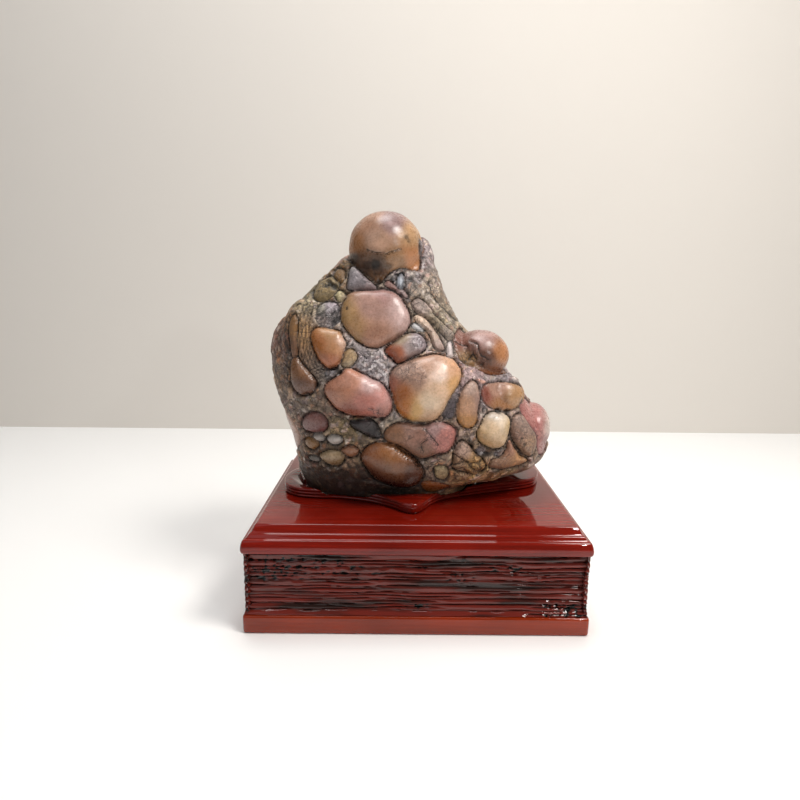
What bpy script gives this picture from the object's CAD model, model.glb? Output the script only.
"""Viewing stone: a conglomerate stone resting loose in a carved, lacquered rosewood stand.

All lists are in millimetres. The front of the stand faces -Y and its underside lies on z = 0.
Places "seen from the front" are across and up on the upright middle plane, as seen from FRONT_EYE.
"""

import itertools
import math
import random

import bmesh
import bpy
import numpy as np
from bpy.props import FloatProperty, FloatVectorProperty, IntProperty, PointerProperty
from mathutils import Matrix, Vector, noise
from mathutils.bvhtree import BVHTree


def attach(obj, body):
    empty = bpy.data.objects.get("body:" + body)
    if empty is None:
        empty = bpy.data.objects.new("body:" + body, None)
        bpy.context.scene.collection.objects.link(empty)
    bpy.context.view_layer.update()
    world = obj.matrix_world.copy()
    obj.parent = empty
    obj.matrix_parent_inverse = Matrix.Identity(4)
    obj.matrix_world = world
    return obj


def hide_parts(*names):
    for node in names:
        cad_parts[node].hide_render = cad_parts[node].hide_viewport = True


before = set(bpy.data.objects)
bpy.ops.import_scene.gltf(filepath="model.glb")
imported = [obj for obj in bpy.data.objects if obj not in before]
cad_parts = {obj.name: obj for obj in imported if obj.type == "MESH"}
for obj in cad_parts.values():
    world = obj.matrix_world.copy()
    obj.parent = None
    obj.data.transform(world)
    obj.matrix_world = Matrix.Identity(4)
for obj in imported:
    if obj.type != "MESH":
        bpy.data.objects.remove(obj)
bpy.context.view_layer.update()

bl_info = {
    "name": "Viewing Stone",
    "version": (1, 0, 0),
    "blender": (4, 5, 0),
    "location": "3D View > Sidebar > Viewing Stone",
    "description": "A conglomerate stone on a carved, lacquered rosewood stand",
    "category": "Add Mesh",
}

MM = 0.001
GAP = 0.3

# Stand
STAND_WIDTH = 160.0
STAND_DEPTH = 128.0
PLINTH_TOP = 8.9
BLOCK_TOP = 39.0
SLAB_EDGE_TOP = 45.6
PLATFORM_TOP = 51.4
SEAT_TOP = 56.6
CORNER_RADIUS = 1.6

# Height above the table and inset from the stand's outline, from the bottom up
PLINTH_PROFILE = [
    (0.0, 1.0), (0.15, 0.55), (0.5, 0.2), (1.0, 0.0), (7.6, 0.0), (8.2, 0.1), (8.65, 0.4), (8.85, 0.75), (8.9, 1.2),
]
SLAB_PROFILE = [
    (39.0, 1.2), (39.1, 0.8), (39.4, 0.4), (39.9, 0.15), (40.6, 0.02), (41.4, 0.0), (42.2, 0.08), (43.0, 0.24),
    (43.8, 0.47), (44.6, 0.78), (45.1, 1.05), (45.4, 1.35), (45.55, 1.7), (45.6, 2.1), (45.7, 2.35), (46.1, 2.75),
    (46.7, 3.2), (47.3, 3.62), (47.55, 3.9), (47.65, 4.3), (47.75, 4.55), (48.3, 4.85), (49.2, 5.25), (50.1, 5.65),
    (50.75, 5.95), (51.1, 6.2), (51.32, 6.5), (51.4, 6.95),
]

# Rippled block
GROOVE_HEIGHTS = [11.2, 13.9, 16.6, 19.4, 22.6, 25.8, 29.0, 32.0, 35.2]
GROOVE_DEPTH = 1.5
GROOVE_WANDER = 0.75
GROOVE_WAVELENGTH = 21.0
BLOCK_INSET = 2.7
BLOCK_WAIST = 0.5
BLOCK_FLARE = 2.2
BLOCK_ROWS = 84
BLOCK_SPACING = 1.0

# Carved seat: outline seen from above, with how strongly the stacked lips stand out at each place
SEAT_OUTLINE = [
    (-66.5, -17.0, 1.0), (-59.5, -23.0, 0.9), (-50.0, -25.0, 0.8), (-41.0, -25.4, 0.8),
    (-33.0, -26.8, 0.7), (-23.0, -30.4, 0.6), (-16.5, -34.0, 0.5), (-10.5, -38.5, 0.3),
    (-6.0, -43.0, 0.1), (-0.8, -45.0, 0.0), (3.6, -40.5, 0.1), (8.5, -32.0, 0.3),
    (16.0, -25.0, 0.5), (31.0, -18.2, 0.7), (46.0, -12.6, 0.8), (57.0, -8.6, 0.9),
    (63.5, -4.5, 1.0), (67.5, 2.5, 1.0), (69.5, 12.0, 1.0), (66.5, 21.0, 1.0),
    (58.0, 26.0, 0.9), (46.0, 28.0, 0.8), (30.0, 29.0, 0.7), (14.0, 31.5, 0.5),
    (3.0, 36.5, 0.2), (-5.0, 40.0, 0.0), (-13.0, 36.0, 0.2), (-25.0, 29.5, 0.6),
    (-38.0, 25.5, 0.7), (-50.0, 21.5, 0.8), (-60.0, 15.5, 0.9), (-67.0, 8.0, 1.0),
    (-69.5, -2.0, 1.0), (-68.8, -10.0, 1.0),
]
SEAT_POINTS = 272
SEAT_ROWS = 34
SEAT_LIPS = 3
SEAT_LIP_REACH = 1.5
POCKET_FLOOR = 53.2
POCKET_FLOOR_PLAY = 1.0
POCKET_RIM_PLAY = 3.2
FOOT_TOP = 57.0
OVERHANG_LOWEST = SEAT_TOP + 0.9

# Stone body: height, left, right, front and back
BODY_SECTIONS = [
    (POCKET_FLOOR + GAP, -58.0, 28.0, -27.0, 27.0),
    (55.5, -59.5, 30.0, -28.5, 29.0),
    (57.8, -60.0, 31.0, -29.0, 30.0),
    (60.0, -61.0, 37.0, -30.0, 33.0),
    (62.5, -61.6, 55.0, -31.5, 35.5),
    (66.5, -62.0, 64.0, -34.0, 38.0),
    (72.0, -62.8, 69.0, -36.0, 41.0),
    (79.0, -63.6, 70.5, -37.0, 43.0),
    (86.0, -65.5, 69.0, -37.5, 44.5),
    (93.0, -68.0, 65.0, -38.0, 45.0),
    (99.0, -70.0, 60.0, -38.0, 45.0),
    (105.0, -72.0, 55.5, -37.5, 44.0),
    (112.0, -73.5, 50.5, -36.5, 43.0),
    (119.0, -74.5, 43.0, -35.0, 41.5),
    (127.0, -75.0, 34.0, -33.0, 39.0),
    (136.0, -72.5, 23.5, -30.0, 35.5),
    (144.0, -65.0, 18.5, -27.5, 31.5),
    (152.0, -57.0, 14.5, -24.5, 27.5),
    (160.0, -48.5, 11.5, -21.0, 24.0),
    (166.5, -41.5, 9.5, -17.5, 21.0),
    (173.0, -35.5, 5.0, -13.0, 17.0),
    (179.0, -28.0, -2.0, -8.0, 12.0),
]
BODY_SQUARENESS = 2.6
SECTION_EASE = 2.5

# Boulders standing clear of the body: name, middle, half sizes, lean. Those called ground are part of the body.
BOULDERS = [
    ("crown", (-16.0, -6.0, 176.2), (18.6, 18.0, 18.2), 0.0),
    ("ground", (-2.5, 6.0, 163.0), (10.5, 13.0, 20.0), -10.0),
    ("shoulder", (33.0, -12.0, 125.5), (14.2, 14.0, 11.6), -18.0),
    ("knuckle", (43.5, -17.0, 105.0), (10.8, 10.5, 9.0), -5.0),
    ("red_edge", (61.0, -3.0, 84.5), (10.2, 17.0, 13.5), -14.0),
    ("ground", (-57.0, -17.0, 129.0), (10.0, 11.0, 22.0), -6.0),
    ("ground", (22.0, -19.0, 98.0), (9.0, 13.0, 16.0), 12.0),
]

# Cobbles seen from the front: name, across, up, half width, half height, lean, rise
FRONT_EYE = (-8.3, -315.0, 160.0)
FRONT_COBBLES = [
    ("wedge", -28.9, 161.2, 8.2, 6.6, -20, 2.6),
    ("chip", -8.6, 160.6, 4.6, 4.6, 0, 1.6),
    ("oval", -21.9, 142.6, 18.8, 15.7, 0, 4.7),
    ("ember", -45.3, 126.2, 8.6, 10.6, 0, 4.2),
    ("lilac", -6.1, 126.6, 11.6, 9.0, 25, 4.4),
    ("cream", 5.8, 103.1, 20.4, 17.6, 22, 6.2),
    ("teardrop", -30.5, 101.7, 18.4, 14.0, -24, 6.0),
    ("shade", -60.1, 111.7, 7.4, 11.3, 6, 2.9),
    ("plum", -52.4, 85.6, 7.0, 6.1, 0, 2.3),
    ("white_left", -51.4, 77.6, 3.8, 3.0, 0, 1.6),
    ("white_right", -43.0, 76.5, 4.5, 3.6, 0, 1.8),
    ("beige", -44.5, 66.1, 7.1, 5.1, -10, 2.1),
    ("grey_small", -54.4, 65.4, 3.4, 2.5, -20, 1.3),
    ("ginger", -34.4, 70.7, 5.0, 4.2, 0, 1.8),
    ("slate", -26.0, 83.6, 9.2, 5.0, -14, 2.3),
    ("amber", -11.2, 62.8, 17.0, 12.2, 8, 5.5),
    ("rough_mauve", 2.8, 77.8, 18.6, 9.6, -4, 3.4),
    ("upright", 28.6, 94.9, 6.4, 13.0, -8, 2.1),
    ("pale", 41.7, 82.9, 8.6, 11.0, -38, 4.9),
    ("cracked_tan", 57.7, 73.6, 7.6, 8.6, 20, 2.6),
    ("heel", 48.0, 65.6, 12.0, 4.8, 8, 2.3),
    ("golden", 29.6, 68.2, 10.9, 7.6, 15, 2.9),
    ("slope", 8.0, 146.0, 6.6, 10.0, 34, 2.1),
    ("band", 6.8, 137.1, 10.5, 3.1, -38, 1.8),
    ("upper_left", -47.0, 156.0, 8.3, 5.0, 40, 1.4),
    ("left_rough", -46.0, 142.0, 6.5, 5.5, 20, 1.3),
]

# Cobbles that only stand a little out of the ground, named with their rise
LOW_COBBLES = {
    "brown_small": 1.2, "cream_small": 0.9, "grey_patch": 0.9, "tan_patch": 0.8, "olive_patch": 0.7,
    "white_splinter": 0.6, "white_tooth": 0.7, "dark_gap": -0.5, "orange_foot": 1.5, "pale_foot": 0.9,
    "pink_ledge": 1.0, "brown_strip": 1.1,
}

# Outlines of the cobbles as seen from the front, as corners that a smooth curve runs through
OUTLINES = {
    "crown": [(2, 172), (1.5, 179), (1, 187), (-5, 196), (-17, 199), (-30, 195), (-37, 184), (-37, 174), (-33, 168.5),
              (-27, 164.5), (-23, 160.5), (-19.5, 158.5), (-17, 161.5), (-12, 165.5), (-6, 167), (0, 166)],
    "shoulder": [(19.5, 130), (20.5, 134), (24, 138), (33, 140), (43, 136), (51, 124), (52, 115), (48, 112.8),
                 (44, 112), (39, 112), (35, 114), (30.5, 116.6), (25.5, 118.5), (22, 121.5), (20.3, 125.5)],
    "knuckle": [(35, 103.5), (37, 107), (42, 108.3), (49, 108.5), (56, 106), (58.5, 100), (57, 96.5), (53, 94),
                (48, 93), (42, 94), (38, 96), (35.5, 99)],
    "red_edge": [(55.5, 98.5), (60, 101), (67, 98), (74, 89), (76, 79), (73, 70), (68, 67.5), (65.5, 71), (66, 78),
                 (63, 84), (59, 88.5), (56.5, 92)],
    "oval": [(-40, 143), (-38.5, 150), (-35, 154), (-30, 155.8), (-20, 156.3), (-12, 155.3), (-7.5, 152), (-4.5, 146),
             (-3.2, 140), (-4.5, 136.5), (-8, 132.5), (-13, 128.8), (-19, 126.2), (-25, 126.3), (-31.5, 129.5),
             (-36, 134), (-39, 138)],
    "wedge": [(-34, 167.8), (-31, 167), (-27.5, 163.5), (-24, 160), (-20.5, 157), (-24, 155.5), (-31, 155.2),
              (-36, 156), (-36, 161)],
    "chip": [(-6.2, 160), (-6.6, 163.6), (-8.4, 165), (-10.2, 163), (-10.6, 159), (-10.2, 155.6), (-8.2, 155),
             (-6.6, 156.6)],
    "ember": [(-36.5, 128), (-38, 131.5), (-40, 135), (-46, 136.3), (-52, 136.3), (-55, 133), (-54.3, 127),
              (-52.8, 122), (-50, 117.7), (-46, 114.6), (-42.5, 115.5), (-40, 118.5), (-38.3, 123)],
    "lilac": [(5.5, 128), (4, 131.5), (0, 134), (-5, 134), (-9, 131.7), (-13, 128), (-17, 124.5), (-15.5, 122.3),
              (-12.8, 120.5), (-11.5, 118.4), (-8.5, 118), (-3, 120.8), (2, 122.6), (5, 125)],
    "cream": [(24.6, 112), (22.5, 118), (18.5, 121.5), (11, 122.6), (4, 121.8), (-4, 119.8), (-11, 117), (-14.3, 112.5),
              (-14.8, 107), (-12.8, 100.5), (-11, 94.5), (-8.5, 90), (-4, 87.4), (1, 86.1), (9, 86.3), (13, 88.6),
              (15.5, 92.5), (18.5, 98.5), (22.5, 104.5)],
    "teardrop": [(-12, 95), (-13.2, 99.5), (-16, 104.5), (-19.5, 108.5), (-25, 110.8), (-30, 113), (-34, 115),
                 (-37.5, 115.3), (-40.2, 112.5), (-44, 109.5), (-48, 106.5), (-48.4, 102), (-45.5, 97.5), (-42, 93),
                 (-37, 90.3), (-28, 89), (-19, 88.2), (-14.3, 89.5)],
    "shade": [(-52.6, 108), (-56, 113), (-60, 118), (-63, 122.5), (-66.3, 119), (-66.5, 110), (-64.5, 103), (-60, 100),
              (-55, 101.5), (-53, 104.5)],
    "plum": [(-46.5, 85), (-48, 89), (-53, 91.5), (-58.5, 90), (-61, 85.5), (-59, 81), (-53.5, 80), (-48.5, 80.8)],
    "white_left": [(-48.3, 77), (-49.5, 79), (-52, 79.8), (-55, 79), (-54.6, 76.7), (-52, 75.2), (-49, 75.2)],
    "white_right": [(-39, 76.6), (-41, 78.9), (-45, 79.3), (-47.6, 77.3), (-46.6, 74.5), (-43.5, 72.8), (-40.2, 74)],
    "brown_small": [(-51.6, 73), (-54, 76.8), (-58, 77.3), (-60, 74.5), (-58, 71.2), (-54.5, 70)],
    "beige": [(-37.5, 65.8), (-40, 69.2), (-44.5, 70.5), (-49, 69.3), (-52, 66.8), (-48.5, 63.6), (-44.5, 61.4),
              (-40, 62)],
    "ginger": [(-29.8, 70.8), (-33, 73.2), (-37.5, 73), (-40, 70.6), (-38.3, 67.3), (-35, 66), (-31.3, 67.5)],
    "grey_small": [(-51.4, 64.8), (-54.5, 67.3), (-57.8, 66.2), (-56, 64.4), (-53, 63.4)],
    "slate": [(-17.4, 77), (-18.6, 81.5), (-21, 85.5), (-25, 87.8), (-31, 87.4), (-35.2, 85.8), (-32.5, 82), (-28, 79.4),
              (-22.5, 77.6)],
    "amber": [(5.2, 57), (3, 63), (-1, 67.5), (-6, 71.3), (-12, 74.3), (-18, 75.4), (-24, 73.8), (-28, 70.5),
              (-29, 65.5), (-26.5, 60), (-21, 54), (-13, 50), (-5, 49), (2, 50.5)],
    "rough_mauve": [(22, 77), (21.5, 83), (17, 86), (11, 86.2), (6, 84.5), (0, 85.4), (-6, 86.3), (-12, 84.8),
                    (-16.5, 80.5), (-16.3, 76.4), (-11, 73.6), (-6, 71.3), (-1, 67.8), (5, 65.8), (12, 68),
                    (19, 70.7)],
    "upright": [(34.3, 100), (33.2, 106.5), (30, 109.3), (26.5, 106.3), (24, 101.5), (22.3, 96), (22.2, 90),
                (23.5, 85.3), (27, 82.9), (31.5, 83.7), (33.6, 88), (33.6, 94)],
    "pale": [(51, 84), (50.3, 89), (46.5, 92.4), (41, 92.6), (37.2, 89.6), (34.8, 84.8), (33, 80), (34.5, 75.8),
             (38.5, 73), (43, 71.4), (47.5, 72.7), (50, 77.5)],
    "golden": [(38.6, 62), (36, 66.8), (32, 70), (28.7, 74.3), (24.5, 76.2), (21.5, 72), (20.5, 66), (21, 60.5),
               (27, 58.5), (34, 57.7)],
    "heel": [(62, 66), (58, 68), (54, 72.5), (51, 77.5), (49.3, 72), (46, 67), (41.5, 65.5), (40, 61.5), (46, 60.2),
             (54, 61.5), (60, 63.8)],
    "cracked_tan": [(65.6, 76), (63.5, 83), (59.3, 88), (55.5, 91.8), (52, 90), (51.4, 84.5), (51.6, 79.7),
                    (55, 74), (58.5, 69.3), (62.5, 67.5), (65, 71)],
    "slope": [(22, 131), (16, 137), (8, 144), (2, 152), (-3, 150), (-1, 144.5), (6, 140), (12, 134), (17, 130)],
    "band": [(15, 126), (13, 130), (9.5, 135), (5.5, 140), (1.5, 143.8), (-2.3, 142.6), (-1, 139.6), (3.5, 136.3),
             (7.5, 131), (9.5, 125.8), (12.5, 124.6)],
    "tan_patch": [(-30.5, 121.5), (-33, 125.3), (-37, 124.8), (-39, 120.5), (-40, 116.8), (-38, 114.4), (-34.5, 115),
                  (-32, 118)],
    "grey_patch": [(-40.6, 146), (-42, 149.5), (-46, 150), (-50.5, 147.5), (-52, 142), (-50, 138), (-44, 137.3),
                   (-40.3, 140)],
    "cream_small": [(-36, 151.5), (-37, 154.6), (-40.5, 155.3), (-42.3, 152.5), (-41, 149.7), (-38, 149.6)],
    "olive_patch": [(-37, 162), (-37.5, 165.5), (-40.5, 166.5), (-43, 163.5), (-42.5, 159.8), (-39, 158.8)],
    "white_splinter": [(4, 134.8), (2, 137.6), (-1.8, 139.2), (-2.6, 137), (0.5, 135)],
    "white_tooth": [(19.3, 125), (18.5, 129.6), (16.4, 129.2), (15.7, 125), (16.3, 121.3), (18.8, 121)],
    "dark_gap": [(24.3, 103.5), (24.6, 107.5), (22.5, 105), (19.3, 100), (16.8, 94.5), (15, 89.6), (19, 88), (21.6, 90),
                 (22, 97)],
    "orange_foot": [(20, 50.3), (14, 52), (8, 52.8), (3.6, 51.8), (4.5, 48.6), (9, 47), (15.5, 47.8)],
    "pale_foot": [(19.5, 57), (18, 60.8), (14, 62.2), (10.6, 60), (12, 55), (16.5, 53.5)],
    "pink_ledge": [(-4, 153), (-6.5, 156.5), (-11, 158.5), (-15.5, 160.8), (-17.3, 158), (-14, 156.6), (-9, 154.6),
                   (-6.5, 151)],
    "brown_strip": [(-61.8, 122), (-62, 131), (-61.5, 140), (-63.5, 143.5), (-66.2, 138), (-66.6, 128), (-66, 121),
                    (-63.5, 119.5)],
}

# How flat the top of a cobble is (2 is a dome), where it isn't a dome
FLATNESS = {"oval": 4.5, "wedge": 3.0, "rough_mauve": 4.0, "upright": 4.0, "slope": 3.0, "band": 3.0,
            "golden": 4.0, "cracked_tan": 4.0, "lilac": 2.6, "slate": 3.5, "heel": 3.0, "cream": 2.8,
            "brown_strip": 2.0}
# Cobbles as rough as the ground, with how rough they are
ROUGHNESS = {"wedge": 0.6, "rough_mauve": 0.45, "golden": 0.8, "cracked_tan": 0.75, "heel": 0.5, "slope": 0.85,
             "band": 0.4, "upright": 0.35, "slate": 0.7, "dark_gap": 0.9, "grey_patch": 0.9, "tan_patch": 0.55,
             "olive_patch": 0.7, "pale_foot": 0.7, "cream_small": 0.6, "pink_ledge": 0.4, "brown_strip": 0.35,
             "upper_left": 0.9, "left_rough": 1.0}
# Worn patches: across, up, radius and how rough
WORN_PATCHES = [(-6.0, 114.0, 8.0, 0.7), (1.0, 109.0, 4.0, 0.5), (27.0, 122.0, 6.0, 0.9), (38.0, 119.0, 4.0, 0.6),
                (-22.0, 167.0, 6.0, 0.8), (-30.0, 170.0, 4.0, 0.5), (0.0, 128.0, 5.5, 0.7), (-18.0, 92.0, 3.0, 0.5),
                (48.0, 81.0, 2.5, 0.4), (67.0, 80.0, 5.0, 0.5)]

# Cobbles on the sides and the back, largest first
OTHER_COBBLE_SIZES = [19, 18, 17, 16, 15, 15, 14, 14, 13, 13, 12, 12, 12, 11, 11, 10, 10, 10, 9, 9, 9, 8, 8, 8, 8]
OTHER_COBBLE_SIZES += [7, 7, 7, 7, 6, 6, 6, 6, 6, 5, 5, 5, 5, 5, 5]
SCATTER_SEED = 12
SCATTER_TRIES = 900
COBBLE_SPACING = 0.92

# Colours of each cobble as seen from the front: across, up and the colour there
COBBLE_COLOURS = {
    "crown": [(-34, 178, "#a2704a"), (-20, 181, "#b9937c"), (-13, 190, "#8f7370"), (-24, 191, "#a98068"),
              (-2, 172, "#b17b54"), (-3, 184, "#b18b66"), (-20, 169, "#503a2a"), (-31, 171, "#583a24"),
              (-11, 171, "#967150"), (-22, 162, "#5a3b20")],
    "shoulder": [(24, 131, "#84584c"), (27, 121, "#80603c"), (35, 131, "#ab8982"), (46, 124, "#ac7650"),
                 (38, 122, "#5f3e31"), (41, 115, "#7b4a2e"), (30, 127, "#6d473b")],
    "knuckle": [(37, 102, "#80483b"), (43, 105, "#ad8775"), (53, 101, "#ae8660"), (46, 97, "#93694a")],
    "red_edge": [(62, 92, "#a8706a"), (68, 85, "#a0615c"), (72, 85, "#cdbfb6"), (67, 74, "#93605a"),
                 (61, 72, "#7b5a4c")],
    "wedge": [(-33, 162, "#8e8588"), (-28, 160, "#7d7376"), (-24, 158, "#a08e8f"), (-34, 166.5, "#aaa2a2")],
    "chip": [(-8.8, 160, "#c3c9d3"), (-6.5, 159, "#4c4a4e"), (-7, 163, "#8b8b92")],
    "oval": [(-37, 142, "#a98458"), (-23, 147, "#a98579"), (-8, 146, "#bfa19b"), (-22, 130, "#a17763"),
             (-17, 153, "#a47f79"), (-33, 134, "#a37e5a")],
    "ember": [(-50, 128, "#9c6032"), (-42, 126, "#ae7d58"), (-45, 118, "#a5684a"), (-44, 133, "#b1865f"),
              (-38.5, 128, "#c8a692")],
    "lilac": [(1, 129, "#9c8d92"), (-14, 121.5, "#8f472e"), (-4, 126, "#a3918e"), (-8, 130, "#a3907a"),
              (-10, 123, "#9f6046")],
    "cream": [(-8, 114, "#a18476"), (0, 110, "#9c7b6a"), (8, 117, "#b58f7a"), (18, 114, "#cf9f7c"),
              (12, 105, "#dcb89a"), (6, 97, "#cdb59c"), (-8, 102, "#985b33"), (-5.5, 94, "#a9642a"),
              (0, 93, "#c59b5f"), (7, 89, "#c6a180"), (-13, 107, "#9a6250"), (11.5, 111, "#e6c9b8"),
              (20, 106, "#cfa06c")],
    "teardrop": [(-45, 102, "#a06f5a"), (-38, 103, "#b47c62"), (-33, 109, "#bb8670"), (-24, 107, "#c6a4a0"),
                 (-19, 100, "#b98077"), (-26, 96, "#ac6b5e"), (-34, 93, "#8b5445"), (-16, 93, "#a27268"),
                 (-14.5, 99, "#b58a84")],
    "shade": [(-60, 115, "#7c573d"), (-60, 104, "#6b4c3d")],
    "plum": [(-54, 88, "#7d5751"), (-53, 82, "#6e4440")],
    "white_left": [(-52, 77, "#a79e97")],
    "white_right": [(-43, 76.5, "#b3aba4")],
    "beige": [(-45, 67, "#a38c6e"), (-42, 63, "#8d7454")],
    "grey_small": [(-54, 65, "#918a82")],
    "ginger": [(-35, 71, "#8d634a")],
    "brown_small": [(-56, 74, "#886540")],
    "slate": [(-30, 84, "#343031"), (-22, 80, "#2a2526"), (-27, 86, "#484041")],
    "amber": [(-12, 70, "#8a5c3a"), (-22, 66, "#85563a"), (0, 60, "#5e3c2c"), (-11, 52, "#3a231a"),
              (-10, 62, "#85573a"), (-24, 59, "#553727")],
    "rough_mauve": [(-10, 80, "#8a6146"), (2, 79, "#8e6453"), (16, 79, "#aa6d64"), (3, 70, "#7c5946"),
                    (10, 83, "#a07f7b"), (-2, 84, "#957366")],
    "upright": [(29, 105, "#a88c7e"), (28, 96, "#b08669"), (27, 86, "#b5824f"), (33, 97, "#987a70")],
    "pale": [(43, 90, "#bfb0a2"), (41, 84, "#d1b493"), (36, 78, "#c4a074"), (46, 77, "#c2a481"), (48, 85, "#bfa276"),
             (45, 86, "#e0cdb8")],
    "cracked_tan": [(58, 84, "#957c6f"), (60, 74, "#977860"), (54, 80, "#8b6b5b")],
    "heel": [(46, 63, "#8b6850"), (56, 67, "#ad8056"), (51, 73, "#a07560")],
    "golden": [(25, 72, "#a58878"), (32, 64, "#a17c4c"), (24, 63, "#96765a"), (34, 60, "#8d6a45")],
    "slope": [(2, 148, "#9d897f"), (10, 141, "#94846f"), (18, 134, "#9c8c80")],
    "band": [(1, 141, "#cbb09a"), (8, 134, "#bda493"), (12, 127, "#b39a90")],
    "upper_left": [(-47, 156, "#85714e")],
    "left_rough": [(-46, 142, "#a3938c")],
    "cream_small": [(-40, 153, "#b3a580"), (-37, 151, "#a08d72")],
    "grey_patch": [(-44, 147, "#ada0a6"), (-46, 141, "#988f90"), (-50, 146, "#b0a89c")],
    "tan_patch": [(-36, 121, "#a88c68"), (-35, 116, "#a39078")],
    "olive_patch": [(-40, 162, "#7d5c34")],
    "white_splinter": [(0, 137, "#c9c8c9")],
    "white_tooth": [(17.5, 125, "#cdbfbc")],
    "dark_gap": [(23, 104, "#8d7f80"), (19, 94, "#4d4448")],
    "orange_foot": [(12, 50, "#a8683a")],
    "pale_foot": [(15, 58, "#a5916f")],
    "pink_ledge": [(-12, 158, "#a07c74"), (-6, 154, "#a38a86")],
    "brown_strip": [(-64, 138, "#84603c"), (-64, 124, "#6b4a33")],
}
OTHER_COLOURS = [
    ("#ad8a7c", "#a07b5c"), ("#b07c62", "#96604c"), ("#8d6449", "#6f4f3c"), ("#96683f", "#6b4a33"),
    ("#cfa98c", "#b08a63"), ("#8f837b", "#6f625c"), ("#9a6a60", "#7c5248"), ("#7c5650", "#5f423c"),
    ("#a98573", "#85594c"), ("#a0683c", "#855534"), ("#a09092", "#7d6d6e"), ("#b5a28a", "#94806a"),
]

# Ground between the cobbles: across, up, reach, light colour and dark colour
GROUND_COLOURS = [
    (-72.0, 128.0, 8.0, "#8a5f4c", "#44302a"),
    (-70.0, 112.0, 8.0, "#80654c", "#3b2d24"),
    (-60.0, 133.0, 6.0, "#b08a5c", "#6b4c30"),
    (-64.0, 90.0, 12.0, "#937a68", "#40322a"),
    (-55.0, 97.0, 8.0, "#94806f", "#554537"),
    (-52.0, 153.0, 9.0, "#8f8160", "#40362a"),
    (-40.0, 160.0, 8.0, "#85663c", "#3c2c1c"),
    (-42.0, 143.0, 8.0, "#b8aba6", "#6b5f58"),
    (-24.0, 117.0, 9.0, "#c3b8b8", "#645a5c"),
    (-44.0, 112.0, 5.0, "#8a8078", "#2f2826"),
    (-41.0, 81.0, 6.0, "#87744f", "#3f3222"),
    (-44.0, 66.0, 10.0, "#6d5844", "#221a16"),
    (-9.0, 90.0, 5.0, "#c9b9a8", "#6b5a4c"),
    (8.0, 150.0, 9.0, "#a3907c", "#6c5d50"),
    (16.0, 141.0, 8.0, "#9f947f", "#62584a"),
    (12.0, 126.0, 6.0, "#c4b2a6", "#85766e"),
    (30.0, 112.0, 8.0, "#a88d8c", "#71605f"),
    (45.0, 110.0, 6.0, "#b3a5a6", "#75666a"),
    (22.0, 80.0, 6.0, "#9c8478", "#5a4a42"),
    (55.0, 95.0, 8.0, "#a89086", "#5f4f45"),
    (38.0, 69.0, 6.0, "#7c6f69", "#1f1917"),
    (32.0, 62.0, 9.0, "#b3905c", "#54402f"),
    (10.0, 62.0, 8.0, "#8b7768", "#3c2f28"),
    (4.0, 172.0, 7.0, "#a8989a", "#5c4d47"),
    (7.0, 160.0, 7.0, "#a8998c", "#6a5b50"),
    (-8.0, 160.0, 7.0, "#8d8580", "#2b2422"),
]

# Cracks seen from the front: half width, depth and the points they run through
CRACKS = [
    (0.35, 0.25, [(-25.5, 176.6), (-23.5, 175.6), (-21.0, 174.7), (-18.1, 174.9)]),
    (0.3, 0.2, [(-16.5, 173.9), (-13.5, 175.0), (-9.2, 176.6)]),
    (0.5, 0.7, [(21.0, 129.5), (24.0, 128.2), (26.3, 127.6)]),
    (0.5, 0.7, [(29.5, 129.5), (32.3, 128.5), (32.6, 125.5), (34.5, 122.0), (38.0, 120.5)]),
    (0.35, 0.5, [(4.8, 82.8), (7.0, 80.9), (9.2, 78.5), (12.5, 74.9)]),
    (0.35, 0.5, [(6.2, 77.4), (3.0, 75.0), (4.2, 71.5)]),
    (0.4, 0.5, [(-9.1, 72.1), (-4.0, 68.9), (-0.5, 66.6), (2.0, 62.5)]),
    (0.4, 0.9, [(18.6, 61.6), (23.0, 63.7), (27.7, 65.4), (31.0, 64.7), (36.5, 65.4)]),
    (0.4, 0.9, [(21.5, 68.6), (25.5, 66.3), (28.5, 64.4), (32.0, 61.2), (36.0, 60.2)]),
    (0.4, 0.7, [(22.0, 60.6), (26.5, 61.8), (29.5, 58.9)]),
    (0.4, 0.7, [(33.5, 64.2), (35.5, 62.2), (34.8, 58.4)]),
    (0.45, 0.9, [(50.6, 79.4), (53.5, 75.7), (55.2, 72.8), (57.2, 69.9)]),
    (0.35, 0.6, [(60.2, 85.8), (62.6, 82.4), (64.6, 82.0), (66.7, 79.4)]),
    (0.3, 0.4, [(-24.3, 94.2), (-21.7, 93.2), (-19.6, 92.9)]),
    (0.3, 0.4, [(-21.5, 91.9), (-18.2, 91.0)]),
    (0.35, 0.5, [(4.6, 124.6), (9.0, 124.2), (15.5, 124.4)]),
    (0.35, 0.5, [(-7.3, 150.4), (-4.5, 146.9), (-1.4, 144.4)]),
    (0.9, 0.9, [(-67.6, 139.1), (-68.3, 132.3), (-67.5, 124.4), (-68.6, 115.9), (-67.6, 108.0)]),
    (0.4, 0.7, [(-72.0, 131.6), (-71.2, 130.6), (-70.6, 129.0)]),
    (0.4, 0.5, [(20.0, 141.0), (12.0, 147.5), (7.5, 154.0), (5.5, 160.0)]),
    (0.5, 0.7, [(28.0, 121.0), (29.5, 123.6), (31.5, 120.8)]),
    (0.35, 0.6, [(-29.4, 123.3), (-27.7, 121.9), (-26.0, 120.6)]),
]
# The layered rib round the left of the ember cobble
RIB_LINE = [(-57.0, 145.0), (-59.0, 138.0), (-58.8, 130.0), (-57.6, 122.0), (-54.6, 115.5), (-50.6, 111.8)]
RIB_SPACING = 1.7
RIB_REACH = 4.6
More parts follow.
